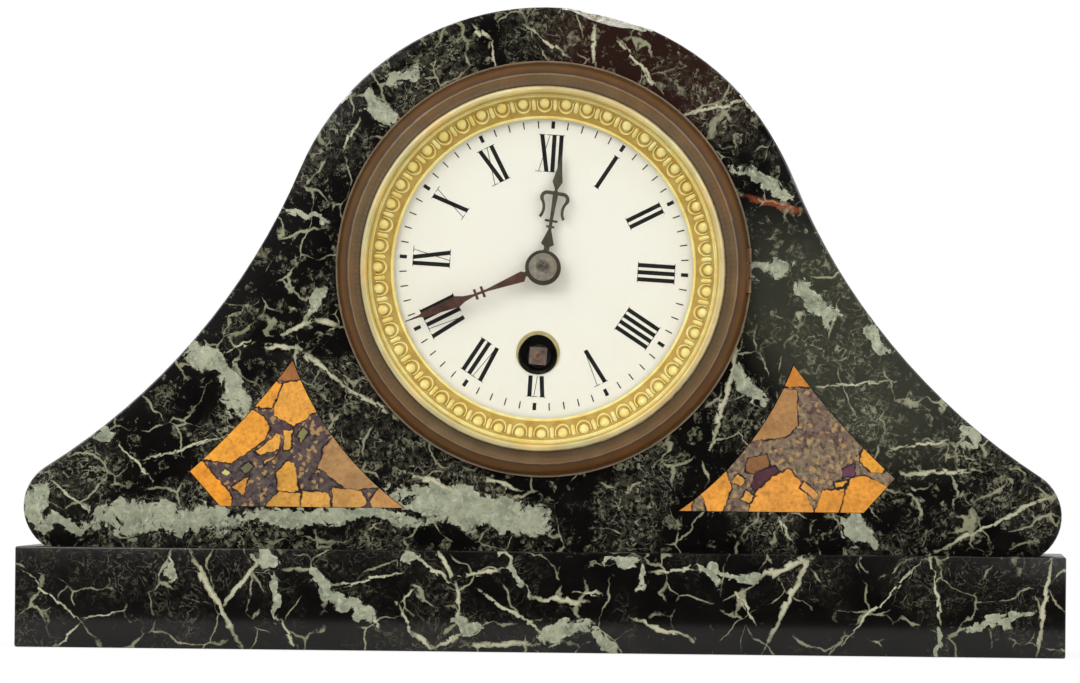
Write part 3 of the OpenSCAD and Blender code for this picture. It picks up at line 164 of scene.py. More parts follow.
FLOOR_FRONT, FLOOR_BACK, FLOOR_SIDE = -0.085, 1.3, 1.0
bpy.ops.mesh.primitive_plane_add(size=1)
floor = bpy.context.object
floor.name = "floor"
for corner in floor.data.vertices:
    corner.co = (corner.co.x * 2 * FLOOR_SIDE, FLOOR_FRONT if corner.co.y < 0 else FLOOR_BACK, -0.0002)
paper_white, tree, point = blank("white_paper")
ray = add(tree, "LightPath")
seen = add(tree, "Math", {0: ray.outputs["Is Camera Ray"], 1: ray.outputs["Is Transmission Ray"]}, operation="MAXIMUM")
bare = add(tree, "Math", {0: seen, 1: 0.8}, operation="MULTIPLY")
matt = add(tree, "BsdfDiffuse", {"Color": paint("#f6f6f4")})
glow = add(tree, "Emission", {"Color": (1, 1, 1, 1), "Strength": 1.1})
sheet = add(tree, "MixShader", {0: bare, 1: matt, 2: glow})
add(tree, "OutputMaterial", {"Surface": sheet})
floor.data.materials.append(paper_white)


# Marble plinth and case
# Black marble with sage patches and pale veins, sawn, ground and polished. The case is one block that stands on the
# plinth, held from below by two tie rods; its front arris is broken away at the top of the crown.
def veined_marble(name, seed, front, busy, patches, veins, stains):
    """Polished black stone that broke and healed many times: angular sage patches, cream veins, a web of cracks that
    come and go, and crowds of hairs and grey flecks. busy is how much the crowds show. A row is a lens of colour:
    its middle on the front, half-length, half-width and tilt."""
    stone, tree, point = blank(name)
    ripple = add(tree, "TexNoise", {"Vector": point, "Scale": 1 / 5, "Detail": 4.0, "Roughness": 0.62})
    ripple = add(tree, "VectorMath", {0: ripple.outputs["Color"], 1: (0.5, 0.5, 0.5)}, operation="SUBTRACT")
    bent = add(tree, "VectorMath", {0: ripple, 1: (3, 3, 3), 2: point}, operation="MULTIPLY_ADD")
    shards = add(tree, "TexVoronoi", {"Vector": bent, "Scale": 1 / 2.6})
    shift = add(tree, "VectorMath", {0: shards.outputs["Color"], 1: (0.5, 0.5, 0.5)}, operation="SUBTRACT")
    stray = add(tree, "TexNoise", {"Vector": point, "Scale": 1 / 11, "Detail": 2.0})
    stray = add(tree, "VectorMath", {0: stray.outputs["Color"], 1: (0.5, 0.5, 0.5)}, operation="SUBTRACT")
    stray = add(tree, "VectorMath", {0: stray, 1: (10, 10, 10), 2: bent}, operation="MULTIPLY_ADD")
    ragged = add(tree, "VectorMath", {0: shift, 1: (1.5, 1.5, 1.5), 2: stray}, operation="MULTIPLY_ADD")
    chance = add(tree, "SeparateXYZ", {0: shards.outputs["Color"]})
    grain = add(tree, "TexNoise", {"Vector": bent, "Scale": 1 / 1.3, "Detail": 4.0, "Roughness": 0.7})
    mottle = add(tree, "Math", {0: grain, 1: 0.5}, operation="SUBTRACT")
    mottle = add(tree, "Math", {0: chance.outputs["X"], 1: 0.45, 2: mottle}, operation="MULTIPLY_ADD")
    drift = add(tree, "VectorMath", {0: bent, 1: (seed, 1.7 * seed, 0.6 * seed)}, operation="ADD")

    def lens(place, middle, turn, reach):
        """A spot of value that fades from one at its middle to nothing at its reach."""
        spot = add(tree, "Mapping", {"Vector": place, "Location": middle, "Rotation": (0, turn, 0), "Scale": reach},
                   vector_type="TEXTURE")
        return add(tree, "TexGradient", {"Vector": spot}, gradient_type="SPHERICAL")

    def most(place, rows, deep, wide):
        """The greatest of several lenses."""
        value = None
        for x, z, half_length, half_width, tilt in rows:
            spot = lens(place, (x, front, z), radians(-tilt), (1.3 * half_length, deep, wide * half_width))
            value = spot if value is None else add(tree, "Math", {0: value, 1: spot}, operation="MAXIMUM")
        return value

    # Patches: listed one by one on the front, and wandering on the sides and the back.
    depth = add(tree, "SeparateXYZ", {0: point})
    behind = add(tree, "MapRange", {"Value": depth.outputs["Y"], "From Min": front + 4, "From Max": front + 26,
                                    "To Min": -0.3, "To Max": 0.0})
    cloud = add(tree, "TexNoise", {"Vector": drift, "Scale": 1 / 26, "Detail": 4.0, "Roughness": 0.6})
    strays = add(tree, "Math", {0: cloud, 1: behind}, operation="ADD")
    strays = add(tree, "MapRange", {"Value": strays, "From Min": 0.56, "From Max": 0.7, "To Max": 0.6})
    patch = add(tree, "Math", {0: most(ragged, patches, 20, 1.3), 1: strays}, operation="MAXIMUM")
    near = add(tree, "MapRange", {"Value": patch, "From Max": 0.3})
    shatter = add(tree, "MapRange", {"Value": near, "To Min": 0.3, "To Max": 0.7})
    ragged_patch = add(tree, "Math", {0: mottle, 1: shatter, 2: patch}, operation="MULTIPLY_ADD")
    patch = add(tree, "MapRange", {"Value": ragged_patch, "From Min": 0.38, "From Max": 0.46})
    split = add(tree, "VectorMath", {0: shift, 1: (0.8, 0.8, 0.8), 2: bent}, operation="MULTIPLY_ADD")
    lode = most(split, veins, 14, 1.0)
    shatter = add(tree, "MapRange", {"Value": lode, "From Max": 0.3, "To Min": 0.45 + 0.35 * busy, "To Max": 0.8})
    vein = add(tree, "Math", {0: mottle, 1: shatter, 2: lode}, operation="MULTIPLY_ADD")
    core = add(tree, "MapRange", {"Value": vein, "From Min": 0.5, "From Max": 0.95})
    vein = add(tree, "MapRange", {"Value": vein, "From Min": 0.3, "From Max": 0.5})

    # Cracks: a web of 14 mm cells whose lines swell to half a millimetre and vanish, and hairs that crowd in places.
    sway = add(tree, "TexNoise", {"Vector": drift, "Scale": 1 / 16, "Detail": 2.0})
    sway = add(tree, "VectorMath", {0: sway.outputs["Color"], 1: (14, 14, 14), 2: drift}, operation="MULTIPLY_ADD")
    crowd = add(tree, "TexNoise", {"Vector": drift, "Scale": 1 / 19, "Detail": 3.0})
    crowd = add(tree, "MapRange", {"Value": crowd, "From Min": 0.47, "From Max": 0.64, "To Max": busy})
    close = add(tree, "Math", {0: near, 1: 0.4}, operation="MULTIPLY")
    crowd = add(tree, "Math", {0: crowd, 1: close}, operation="MAXIMUM")
    come = add(tree, "TexNoise", {"Vector": drift, "Scale": 1 / 7, "Detail": 3.0})
    come = add(tree, "MapRange", {"Value": come, "From Min": 0.43, "From Max": 0.66})
    line = add(tree, "TexVoronoi", {"Vector": sway, "Scale": 1 / 14}, feature="DISTANCE_TO_EDGE")
    width = add(tree, "MapRange", {"Value": come, "To Min": 0.008, "To Max": 0.032})
    line = add(tree, "Math", {0: line, 1: width}, operation="DIVIDE")
    web = add(tree, "MapRange", {"Value": line, "From Min": 1.0, "From Max": 0.4})
    share = add(tree, "MapRange", {"Value": come, "From Min": 0.1, "From Max": 0.6})
    web = add(tree, "Math", {0: web, 1: share}, operation="MULTIPLY")
    curl = add(tree, "TexNoise", {"Vector": sway, "Scale": 1 / 6, "Detail": 3.0, "Roughness": 0.6})
    for level in (0.5, 0.055):
        curl = add(tree, "Math", {0: curl, 1: level}, operation="SUBTRACT")
        curl = add(tree, "Math", {0: curl}, operation="ABSOLUTE")
    hairs = add(tree, "MapRange", {"Value": curl, "From Min": 0.016, "From Max": 0.004})
    hairs = add(tree, "Math", {0: hairs, 1: crowd}, operation="MULTIPLY")
    patchy = add(tree, "MapRange", {"Value": chance.outputs["Z"], "From Min": 0.25, "From Max": 0.6, "To Min": 0.15})
    hairs = add(tree, "Math", {0: hairs, 1: patchy}, operation="MULTIPLY")
    fleck = add(tree, "MapRange", {"Value": grain, "From Min": 0.43, "From Max": 0.7})
    fleck = add(tree, "Math", {0: fleck, 1: crowd}, operation="MULTIPLY")

    soft = add(tree, "TexNoise", {"Vector": bent, "Scale": 1 / 9, "Detail": 4.0, "Roughness": 0.6})
    soft = add(tree, "MapRange", {"Value": soft, "From Min": 0.35, "From Max": 0.75})
    colour = add(tree, "Mix", {"Factor": soft, "A": paint("#050404"), "B": paint("#110e0b")}, data_type="RGBA")
    for x, z, half_length, half_width, tilt, tint, share in stains:
        spot = lens(split, (x, front, z), radians(-tilt), (half_length, 30, half_width))
        spot = add(tree, "MapRange", {"Value": spot, "From Min": 0.02, "From Max": 0.4, "To Max": share})
        colour = add(tree, "Mix", {"Factor": spot, "A": colour, "B": paint(tint)}, data_type="RGBA")
    flow = add(tree, "TexNoise", {"Vector": sway, "Scale": 1 / 4, "Detail": 4.0, "Roughness": 0.65})
    flow = add(tree, "MapRange", {"Value": flow, "From Min": 0.3, "From Max": 0.7})
    sage = add(tree, "Mix", {"Factor": flow, "A": paint("#68705b"), "B": paint("#a6a98f")}, data_type="RGBA")
    pale = add(tree, "MapRange", {"Value": grain, "From Min": 0.5, "From Max": 0.75})
    sage = add(tree, "Mix", {"Factor": pale, "A": sage, "B": paint("#c4c4aa")}, data_type="RGBA")
    warm = add(tree, "MapRange", {"Value": soft, "From Min": 0.3, "To Max": 0.7})
    sage = add(tree, "Mix", {"Factor": warm, "A": sage, "B": paint("#a7a489")}, data_type="RGBA")
    sage = add(tree, "Mix", {"Factor": hairs, "A": sage, "B": paint("#2c302a")}, data_type="RGBA")
    cream = add(tree, "Mix", {"Factor": soft, "A": paint("#75755b"), "B": paint("#9c9a80")}, data_type="RGBA")
    cream = add(tree, "Mix", {"Factor": core, "A": cream, "B": paint("#b8b499")}, data_type="RGBA")
    for share, tint in ((fleck, paint("#4b483a")), (hairs, paint("#84836d")), (web, cream), (patch, sage),
                        (vein, cream)):
        colour = add(tree, "Mix", {"Factor": share, "A": colour, "B": tint}, data_type="RGBA")
    gloss = add(tree, "MapRange", {"Value": patch, "To Min": 0.17, "To Max": 0.32})
    hollow = add(tree, "Math", {0: patch, 1: grain}, operation="MULTIPLY")
    bump = add(tree, "Bump", {"Height": hollow, "Strength": 0.12, "Distance": 0.0003})
    face = add(tree, "BsdfPrincipled", {"Base Color": colour, "Roughness": gloss, "IOR": 1.45, "Normal": bump})
    add(tree, "OutputMaterial", {"Surface": face})
    return stone


def pick(*pieces):
    """Picks pieces alone and makes the first of them the active one."""
    bpy.ops.object.select_all(action="DESELECT")
    for piece in pieces:
        piece.select_set(True)
    bpy.context.view_layer.objects.active = pieces[0]


def edit(piece):
    """Opens a piece in edit mode, alone and with all of it picked."""
    pick(piece)
    bpy.ops.object.mode_set(mode="EDIT")
    bpy.ops.mesh.select_mode(type="EDGE")
    bpy.ops.mesh.select_all(action="SELECT")


def done(piece, smooth=None):
    """Closes edit mode, and shades smooth across edges that turn by less than so many degrees."""
    bpy.ops.object.mode_set(mode="OBJECT")
    if smooth:
        bpy.ops.object.shade_smooth_by_angle(angle=radians(smooth))
    return piece


WELD, FLAT, SHARP = 0.002, 0.3, 40


def blank_of(node, name):
    """A copy of a solid with whole faces, left open in edit mode."""
    piece = solids[node].copy()
    piece.data = solids[node].data.copy()
    piece.name = piece.data.name = name
    for tag in list(piece.keys()):
        del piece[tag]
    piece.parent = None
    piece.data.materials.clear()
    scene.collection.objects.link(piece)
    edit(piece)
    bpy.ops.mesh.remove_doubles(threshold=WELD * MM)
    bpy.ops.mesh.customdata_custom_splitnormals_clear()
    bpy.ops.mesh.dissolve_limited(angle_limit=radians(FLAT))
    return piece


def block(node, name, arris, outline):
    """A copy of a sawn solid with the edges along its outline eased by arris millimetres."""
    piece = blank_of(node, name)
    bpy.ops.mesh.select_all(action="DESELECT")
    for edge in bmesh.from_edit_mesh(piece.data).edges:
        ends = [v.co / MM for v in edge.verts]
        sharp = len(edge.link_faces) == 2 and edge.calc_face_angle() > radians(SHARP)
        edge.select_set(sharp and all(outline(end) for end in ends))
    bpy.ops.mesh.bevel(offset=arris * MM, segments=2, affect="EDGES")
    return done(piece, 30)


case_low, case_high = (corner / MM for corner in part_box("case_body"))
plinth_low, plinth_high = (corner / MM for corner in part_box("plinth"))
DIAL_HIGH = 103
CROWN_R = 71.5
CROWN_HIGH = case_high.z - CROWN_R
FLANK_X = 50
POCKETS_LOW, POCKETS_HIGH, POCKETS_OUT = 38, 78.2, 97


def on_case_outline(end):
    """True on the front and back arris of the case, away from the bore and the inlay pockets."""
    at_face = min(abs(end.y - case_low.y), abs(end.y - case_high.y)) < 0.01
    crown = abs(Vector((end.x, end.z - CROWN_HIGH)).length - CROWN_R) < 0.1
    pocket = POCKETS_LOW < end.z < POCKETS_HIGH and abs(end.x) < POCKETS_OUT
    flank = abs(end.x) > FLANK_X and plinth_high.z + 0.5 < end.z and not pocket
    return at_face and (crown or flank)


case = block("case_body", "case_marble", 0.5, on_case_outline)
plinth = block("plinth", "plinth_marble", 0.45,
               lambda end: end.z < 0.01 or end.z > plinth_high.z - 0.01 or abs(end.y - plinth_low.y) < 0.01)

# A chip's turn from the top of the crown and its lean in degrees, how far its middle stands out from the crown, and
# its reach along the arris, into the stone and down from it.
chips = []
for turn, lean, stand, reach in ((14.6, -2, 0.1, (12, 17, 2.6)), (50.3, 0, 0.5, (2.4, 3.2, 1.4)),
                                 (-49, 0, 0.6, (1.8, 3, 1.3))):
    turn, lean = radians(turn), radians(turn + lean)
    middle = Vector(((CROWN_R + stand) * sin(turn), case_low.y - 0.4, CROWN_HIGH + (CROWN_R + stand) * cos(turn)))
    chips.append((middle, lean, reach))
    bpy.ops.mesh.primitive_ico_sphere_add(subdivisions=4, radius=1)
    spall = bpy.context.object
    for corner in spall.data.vertices:
        way = corner.co.copy()
        rough = 1 + 0.07 * sin(9 * way.x + 4 * way.z) + 0.06 * sin(14 * way.y + 11 * way.x)
        way.x = copysign(abs(way.x) ** 0.7, way.x)
        corner.co = Vector(a * b * rough * MM for a, b in zip(way, reach))
    spall.data.transform(Matrix.Translation(middle * MM) @ Matrix.Rotation(lean, 4, "Y"))
    cut = case.modifiers.new("chip", "BOOLEAN")
    cut.operation = "DIFFERENCE"
    cut.object = spall
    pick(case)
    bpy.ops.object.modifier_apply(modifier=cut.name)
    bpy.data.objects.remove(spall)

case_stone = veined_marble(
    "black_marble_case", 41, case_low.y, 0.95,
    patches=((-101.5, 34.9, 22, 4.4, 0), (-56.5, 36.2, 27, 2.8, -1), (-16.7, 37.9, 23, 4.8, -13),
             (-136.5, 38.5, 6.2, 3.5, 75), (-85.9, 72, 12.7, 3.2, -51), (-91.4, 78.6, 6, 4, -30),
             (-60.3, 93.6, 4.3, 1.6, 50), (-45.1, 146.4, 6.3, 2.2, -50), (-38.5, 155.3, 5, 1.8, 35),
             (-64.1, 116.2, 6.7, 1.2, -15), (62.4, 103, 6.7, 3.2, -5), (74, 94.4, 7.3, 3, -40),
             (56.4, 72, 7.5, 2.7, -60), (86.3, 32.6, 6, 2.6, -62), (58.8, 127, 9.4, 2.4, -20), (90, 85, 5, 1.6, -42),
             (114.2, 58, 4.5, 2, -50), (-117.7, 57, 4, 1.5, 20), (-128.5, 32.9, 7.5, 1.4, 0)),
    veins=((-70.1, 81.3, 4.5, 0.7, -4), (-59.5, 75.9, 8.4, 0.8, -39), (-46.4, 66.9, 7.8, 0.6, -32),
           (-66.1, 86.5, 4.8, 0.8, 27), (-58.9, 88, 3, 1, -16), (-81.9, 81.5, 4.5, 0.4, 22),
           (-126.9, 40.4, 7.4, 0.4, -39), (-109.8, 50.6, 7, 0.4, -45), (-95.3, 54.3, 13.5, 0.4, 17),
           (-17.7, 166.4, 3.8, 0.6, -35), (-14.1, 160.5, 3.6, 0.5, -85), (-52.3, 139, 5.4, 0.5, 66),
           (25, 158.4, 10.3, 0.5, -51), (13.1, 163.1, 5.7, 0.6, 90), (0.4, 164.2, 7.6, 0.6, -35),
           (45.4, 146.8, 8.6, 0.6, 14), (49.1, 69.5, 16.8, 0.9, 75), (83.8, 73, 10, 0.5, 5),
           (102.4, 56.8, 8, 0.5, 8), (107.6, 49.6, 10, 0.7, 2), (65.5, 34.2, 4, 0.5, -58),
           (121.5, 35.8, 19, 0.7, 27), (-29.7, 45.6, 7.5, 0.7, -18), (-10, 45, 5, 0.6, -21)),
    stains=((27, 157, 36, 15, -22, "#2a1712", 0.9), (80, 84, 50, 24, -48, "#33342a", 0.9),
            (61.8, 121.0, 10, 1.15, -15, "#7d3c22", 0.85)))
plinth_stone = veined_marble(
    "black_marble_plinth", 97, plinth_low.y, 0.3,
    patches=((-73.2, 24.5, 3.2, 2.4, 0), (-71.6, 14.4, 7.5, 1, -78), (-52.1, 14.1, 12.4, 2.2, -40),
             (-99.4, 21.7, 3.8, 1.4, -75), (-35.3, 25.5, 2.4, 1.8, 0), (-19, 7.3, 3.6, 1.5, -5),
             (-6.8, 21.1, 8, 1, -52), (6.9, 5.6, 8.5, 2.4, 14), (17.5, 2.8, 4.8, 1.9, -38),
             (22.3, 25.2, 5.2, 1.6, -8), (26.6, 20.5, 3.8, 1, 77), (45.8, 20.5, 5, 1.3, -35), (52, 20.9, 9, 1, -3),
             (123.2, 9.8, 10.3, 1.3, 18), (106.7, 4, 4, 1.1, -70)),
    veins=((-130.9, 13.6, 11, 0.35, -42), (-117.5, 8.7, 5.8, 0.35, 12), (-126.6, 3.2, 5, 0.35, 42),
           (-87.1, 13.6, 15.6, 1.1, -61), (-80.2, 17.5, 8, 0.8, 51), (-67.4, 4.3, 5, 0.5, -60),
           (-45.5, 19, 9, 0.4, 13), (-27.8, 21.4, 6.5, 0.7, -34), (-21.7, 13.2, 5, 0.9, -88),
           (-25.2, 23.8, 4.4, 0.8, -61), (-36.1, 8.7, 4.4, 0.6, -63), (-35.6, 15.1, 3.4, 0.5, 45),
           (-30.8, 2.7, 3.8, 0.9, -35), (-24.1, 2.8, 4, 0.7, 31), (-15.6, 21, 5, 0.7, 6), (-7.6, 11, 10.3, 0.7, -32),
           (6.1, 14.1, 7.3, 0.9, -5), (-9.4, 2.1, 9.7, 1.2, 2), (13.3, 16.1, 3.8, 0.8, 0), (36.5, 22.3, 6, 0.7, 6),
           (33.3, 6.7, 9, 0.7, -17), (66.4, 13.9, 15.3, 1.1, 64), (65.9, 23.4, 8, 1, 22),
           (55.4, 12.9, 5.5, 0.5, -58), (90.7, 13.4, 16.7, 0.4, 46), (106.2, 18.1, 9.2, 0.5, -81),
           (135.3, 13.4, 13, 0.8, 82)),
    stains=())
for piece, stone, node in ((case, case_stone, "case_body"), (plinth, plinth_stone, "plinth")):
    piece.data.materials.clear()
    piece.data.materials.append(stone)
    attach(piece, "clock")
    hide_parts(node)

# Where it is broken the stone is pale, rough and sugary, with olive streaks.
broken, tree, point = blank("broken_marble")
sugar = add(tree, "TexNoise", {"Vector": point, "Scale": 1 / 0.9, "Detail": 5.0, "Roughness": 0.7})
tone = add(tree, "MapRange", {"Value": sugar, "From Min": 0.35, "From Max": 0.6})
colour = add(tree, "Mix", {"Factor": tone, "A": paint("#98957f"), "B": paint("#eceadd")}, data_type="RGBA")
streak = add(tree, "TexNoise", {"Vector": point, "Scale": 1 / 3.5, "Detail": 3.0})
streak = add(tree, "MapRange", {"Value": streak, "From Min": 0.54, "From Max": 0.62, "To Max": 0.7})
colour = add(tree, "Mix", {"Factor": streak, "A": colour, "B": paint("#7c7a5f")}, data_type="RGBA")
bump = add(tree, "Bump", {"Height": sugar, "Strength": 0.5, "Distance": 0.0004})
face = add(tree, "BsdfPrincipled", {"Base Color": colour, "Roughness": 0.8, "IOR": 1.45, "Normal": bump})
add(tree, "OutputMaterial", {"Surface": face})
case.data.materials.append(broken)
for side in case.data.polygons:
    spot = side.center / MM
    sunk = min(CROWN_R - Vector((spot.x, spot.z - CROWN_HIGH)).length, spot.y - case_low.y)
    for middle, lean, reach in chips:
        away = Matrix.Rotation(-lean, 3, "Y") @ (spot - middle)
        if sunk > 0.03 and Vector(a / b for a, b in zip(away, reach)).length < 1.2:
            side.material_index = 1


# Inlay panels
# Two flush panels of orange and purple breccia, sawn to a curved triangle, let into pockets in the front and polished
# with it. Lumps of clear orange with straight broken sides lie in a crushed ground of purple and tan.
def coat(finish, *names):
    """Gives CAD nodes a finish."""
    for name in names:
        for slot in solids[name].material_slots:
            slot.material = finish


def breccia(name, dark, light, lumps):
    """Polished breccia: a ground of small crumbs between a dark and a light colour, and lumps broken with straight
    sides, each with a thin dark seam round it. A lump is its colour and its corners on the front, clockwise."""
    stone, tree, point = blank(name)
    ripple = add(tree, "TexNoise", {"Vector": point, "Scale": 1 / 1.9, "Detail": 4.0, "Roughness": 0.7})
    ripple = add(tree, "VectorMath", {0: ripple.outputs["Color"], 1: (0.5, 0.5, 0.5)}, operation="SUBTRACT")
    ragged = add(tree, "VectorMath", {0: ripple, 1: (1.9, 1.9, 1.9), 2: point}, operation="MULTIPLY_ADD")
    grain = add(tree, "TexNoise", {"Vector": ragged, "Scale": 1 / 1.1, "Detail": 5.0, "Roughness": 0.7})
    crumbs = add(tree, "TexVoronoi", {"Vector": ragged, "Scale": 1 / 0.9})
    chance = add(tree, "SeparateXYZ", {0: crumbs.outputs["Color"]})
    cloud = add(tree, "TexNoise", {"Vector": ragged, "Scale": 1 / 7, "Detail": 3.0})
    share = add(tree, "Math", {0: chance.outputs["X"], 1: 0.25, 2: grain}, operation="MULTIPLY_ADD")
    share = add(tree, "MapRange", {"Value": share, "From Min": 0.42, "From Max": 0.86})
    colour = add(tree, "Mix", {"Factor": share, "A": paint(dark), "B": paint(light)}, data_type="RGBA")
    plum = add(tree, "MapRange", {"Value": cloud, "From Min": 0.5, "From Max": 0.66, "To Max": 0.5})
    colour = add(tree, "Mix", {"Factor": plum, "A": colour, "B": paint("#54343f")}, data_type="RGBA")
    crumb = add(tree, "MapRange", {"Value": chance.outputs["Y"], "From Min": 0.84, "From Max": 0.9, "To Max": 0.75})
    colour = add(tree, "Mix", {"Factor": crumb, "A": colour, "B": paint("#b08a52")}, data_type="RGBA")
    streak = add(tree, "TexNoise", {"Vector": ragged, "Scale": 1 / 3, "Detail": 4.0, "Roughness": 0.7})
    streak = add(tree, "MapRange", {"Value": streak, "From Min": 0.42, "From Max": 0.34, "To Max": 0.85})
    colour = add(tree, "Mix", {"Factor": streak, "A": colour, "B": paint("#241a1c")}, data_type="RGBA")
    swell = add(tree, "TexNoise", {"Vector": point, "Scale": 1 / 4, "Detail": 2.0})
    swell = add(tree, "MapRange", {"Value": swell, "From Min": 0.36, "From Max": 0.64, "To Min": 0.08, "To Max": 0.75})
    glow = add(tree, "MapRange", {"Value": cloud, "From Min": 0.3, "From Max": 0.7, "To Min": 0.7, "To Max": 1.0})
    sheen = add(tree, "MapRange", {"Value": grain, "From Min": 0.25, "From Max": 0.75, "To Min": 0.74, "To Max": 1.18})
    glow = add(tree, "Math", {0: glow, 1: sheen}, operation="MULTIPLY")
    bruise = add(tree, "MapRange", {"Value": grain, "From Min": 0.48, "From Max": 0.3, "To Max": 0.5})
    for tint, corners in lumps:
        outside = None
        for (x, z), (next_x, next_z) in zip(corners, corners[1:] + corners[:1]):
            run = Vector((next_x - x, next_z - z)).normalized()
            beyond = add(tree, "VectorMath", {0: ragged, 1: (-run.y, 0, run.x)}, operation="DOT_PRODUCT")
            beyond = add(tree, "Math", {0: beyond, 1: run.x * z - run.y * x}, operation="SUBTRACT")
            outside = beyond if outside is None else add(tree, "Math", {0: outside, 1: beyond}, operation="MAXIMUM")
        seam = add(tree, "Math", {0: outside, 1: swell}, operation="DIVIDE")
        seam = add(tree, "MapRange", {"Value": seam, "From Min": 1.0, "From Max": 0.6})
        colour = add(tree, "Mix", {"Factor": seam, "A": colour, "B": paint("#2a1c20")}, data_type="RGBA")
        inside = add(tree, "MapRange", {"Value": outside, "From Min": 0.06, "From Max": -0.14})
        lump = add(tree, "VectorMath", {0: paint(tint)[:3], "Scale": glow}, operation="SCALE")
        lump = add(tree, "Mix", {"Factor": bruise, "A": lump, "B": paint("#8f5524")}, data_type="RGBA")
        colour = add(tree, "Mix", {"Factor": inside, "A": colour, "B": lump}, data_type="RGBA")
    gloss = add(tree, "MapRange", {"Value": grain, "To Min": 0.22, "To Max": 0.42})
    bump = add(tree, "Bump", {"Height": grain, "Strength": 0.06, "Distance": 0.0002})
    face = add(tree, "BsdfPrincipled", {"Base Color": colour, "Roughness": gloss, "IOR": 1.5, "Normal": bump})
    add(tree, "OutputMaterial", {"Surface": face})
    return stone


coat(breccia("breccia_left", "#352b30", "#665850", (
    ("#b58a55", ((-56.3, 57.5), (-47, 48), (-43, 44), (-52, 43), (-56.6, 46), (-60.3, 48.9), (-58.5, 54.5))),
    ("#dfa345", ((-64.7, 42.6), (-57.2, 42.2), (-56.8, 37), (-65, 37))),
    ("#d29a4c", ((-56.4, 43.6), (-49, 43), (-47, 40), (-49.5, 37), (-56.2, 37))),
    ("#c58f4e", ((-47.8, 44.8), (-42, 44.6), (-36, 37), (-48.8, 37), (-46.3, 40.2))),
    ("#a86a35", ((-66.2, 81), (-62, 72.8), (-73, 72))),
    ("#f0a73a", ((-69.6, 71.8), (-62, 72.6), (-59.5, 64.6), (-67.3, 60.1), (-72.4, 62.8), (-72.2, 66.7))),
    ("#f0a02c", ((-72, 72), (-70.3, 71.4), (-73, 64.7), (-78.5, 65.2))),
    ("#f2a229", ((-79.4, 65), (-75.1, 62.6), (-73.5, 59.4), (-75, 56.1), (-83.6, 49.9), (-93, 50.9))),
    ("#f69c14", ((-92.2, 50.8), (-86, 44.1), (-83.6, 40.9), (-83.7, 37), (-89, 37), (-100, 47.4))),
    ("#eba63c", ((-71.4, 58), (-70.5, 57.4), (-70.7, 53.7), (-75.8, 52.3), (-77.3, 53))),
    ("#dda23c", ((-69.7, 58.8), (-67.3, 59), (-67.9, 54.1), (-69.5, 53.5))),
    ("#c99a4a", ((-71.7, 52.3), (-72.3, 51.2), (-74.8, 49.9), (-75, 50.5))),
    ("#e0a037", ((-68.5, 50.7), (-66.2, 50.1), (-65.8, 45.2), (-64.3, 37), (-70.9, 41.1), (-71.5, 47.6))),
    ("#d59a3c", ((-70.9, 42.5), (-65, 42), (-65, 37), (-75.5, 37))),
    ("#cd8c2a", ((-79.1, 46.5), (-80.2, 41.1), (-83.5, 43.7))),
    ("#c9c074", ((-85.6, 48.4), (-83.8, 47.4), (-84.8, 46.2), (-86.4, 47.2))),
    ("#77754f", ((-79.1, 50.1), (-77.8, 49.1), (-79.9, 47.1), (-81.5, 48.7))),
    ("#86834f", ((-64.4, 59.9), (-63.2, 58.3), (-64.8, 55.8), (-65.9, 57.4))))), "inlay_left")
coat(breccia("breccia_right", "#463836", "#9a8462", (
    ("#b0814b", ((62, 71.6), (68.4, 71.2), (68.7, 61.6), (65.4, 58.5), (55, 57), (54, 59))),
    ("#d58522", ((67.3, 81), (74, 72), (62, 72))),
    ("#8f6238", ((55.1, 52.7), (60.6, 53.6), (61.2, 50.5), (57.8, 48), (54.9, 49.2))),
    ("#54303c", ((57.5, 49), (62.8, 50.4), (64, 48.4), (57.8, 43.6), (56.4, 45))),
    ("#6d4058", ((80.5, 49.8), (84, 51.5), (84.4, 48.5), (81, 47.6))),
    ("#eea42a", ((86.7, 56.6), (94, 52), (91.5, 49.2), (88.8, 49.2), (85.4, 52.1))),
    ("#ea9a2b", ((75.6, 44.3), (83, 44.7), (91, 42), (91, 37), (73, 37))),
    ("#ea9a2b", ((83.2, 47.6), (86.2, 48.5), (94, 45.2), (91, 37), (80, 37), (82, 44.6))),
    ("#eb9d35", ((66.3, 49.9), (69.1, 48.6), (70.4, 45.4), (73.8, 41.4), (72.9, 37), (55.2, 37), (57.7, 43.6),
                 (62.3, 47.9))),
    ("#ee9f30", ((49, 51), (51.1, 44.7), (48.4, 37), (45.5, 37), (42, 44.8))),
    ("#e1932f", ((40.1, 44), (40.9, 40.9), (39.6, 37), (34, 37))),
    ("#d99b42", ((52.6, 48.1), (54.7, 47.2), (53.8, 45.1), (50.8, 46))),
    ("#e1a142", ((55, 44.2), (57.2, 42.4), (55.9, 40.7), (53.7, 41.5))),
    ("#dd9b4a", ((70.3, 46.8), (74.6, 43), (73.6, 41.6), (69.8, 44.8))),
    ("#e1a132", ((78.8, 46.3), (82.2, 46.7), (81.2, 45.5), (79.2, 45))))), "inlay_right")


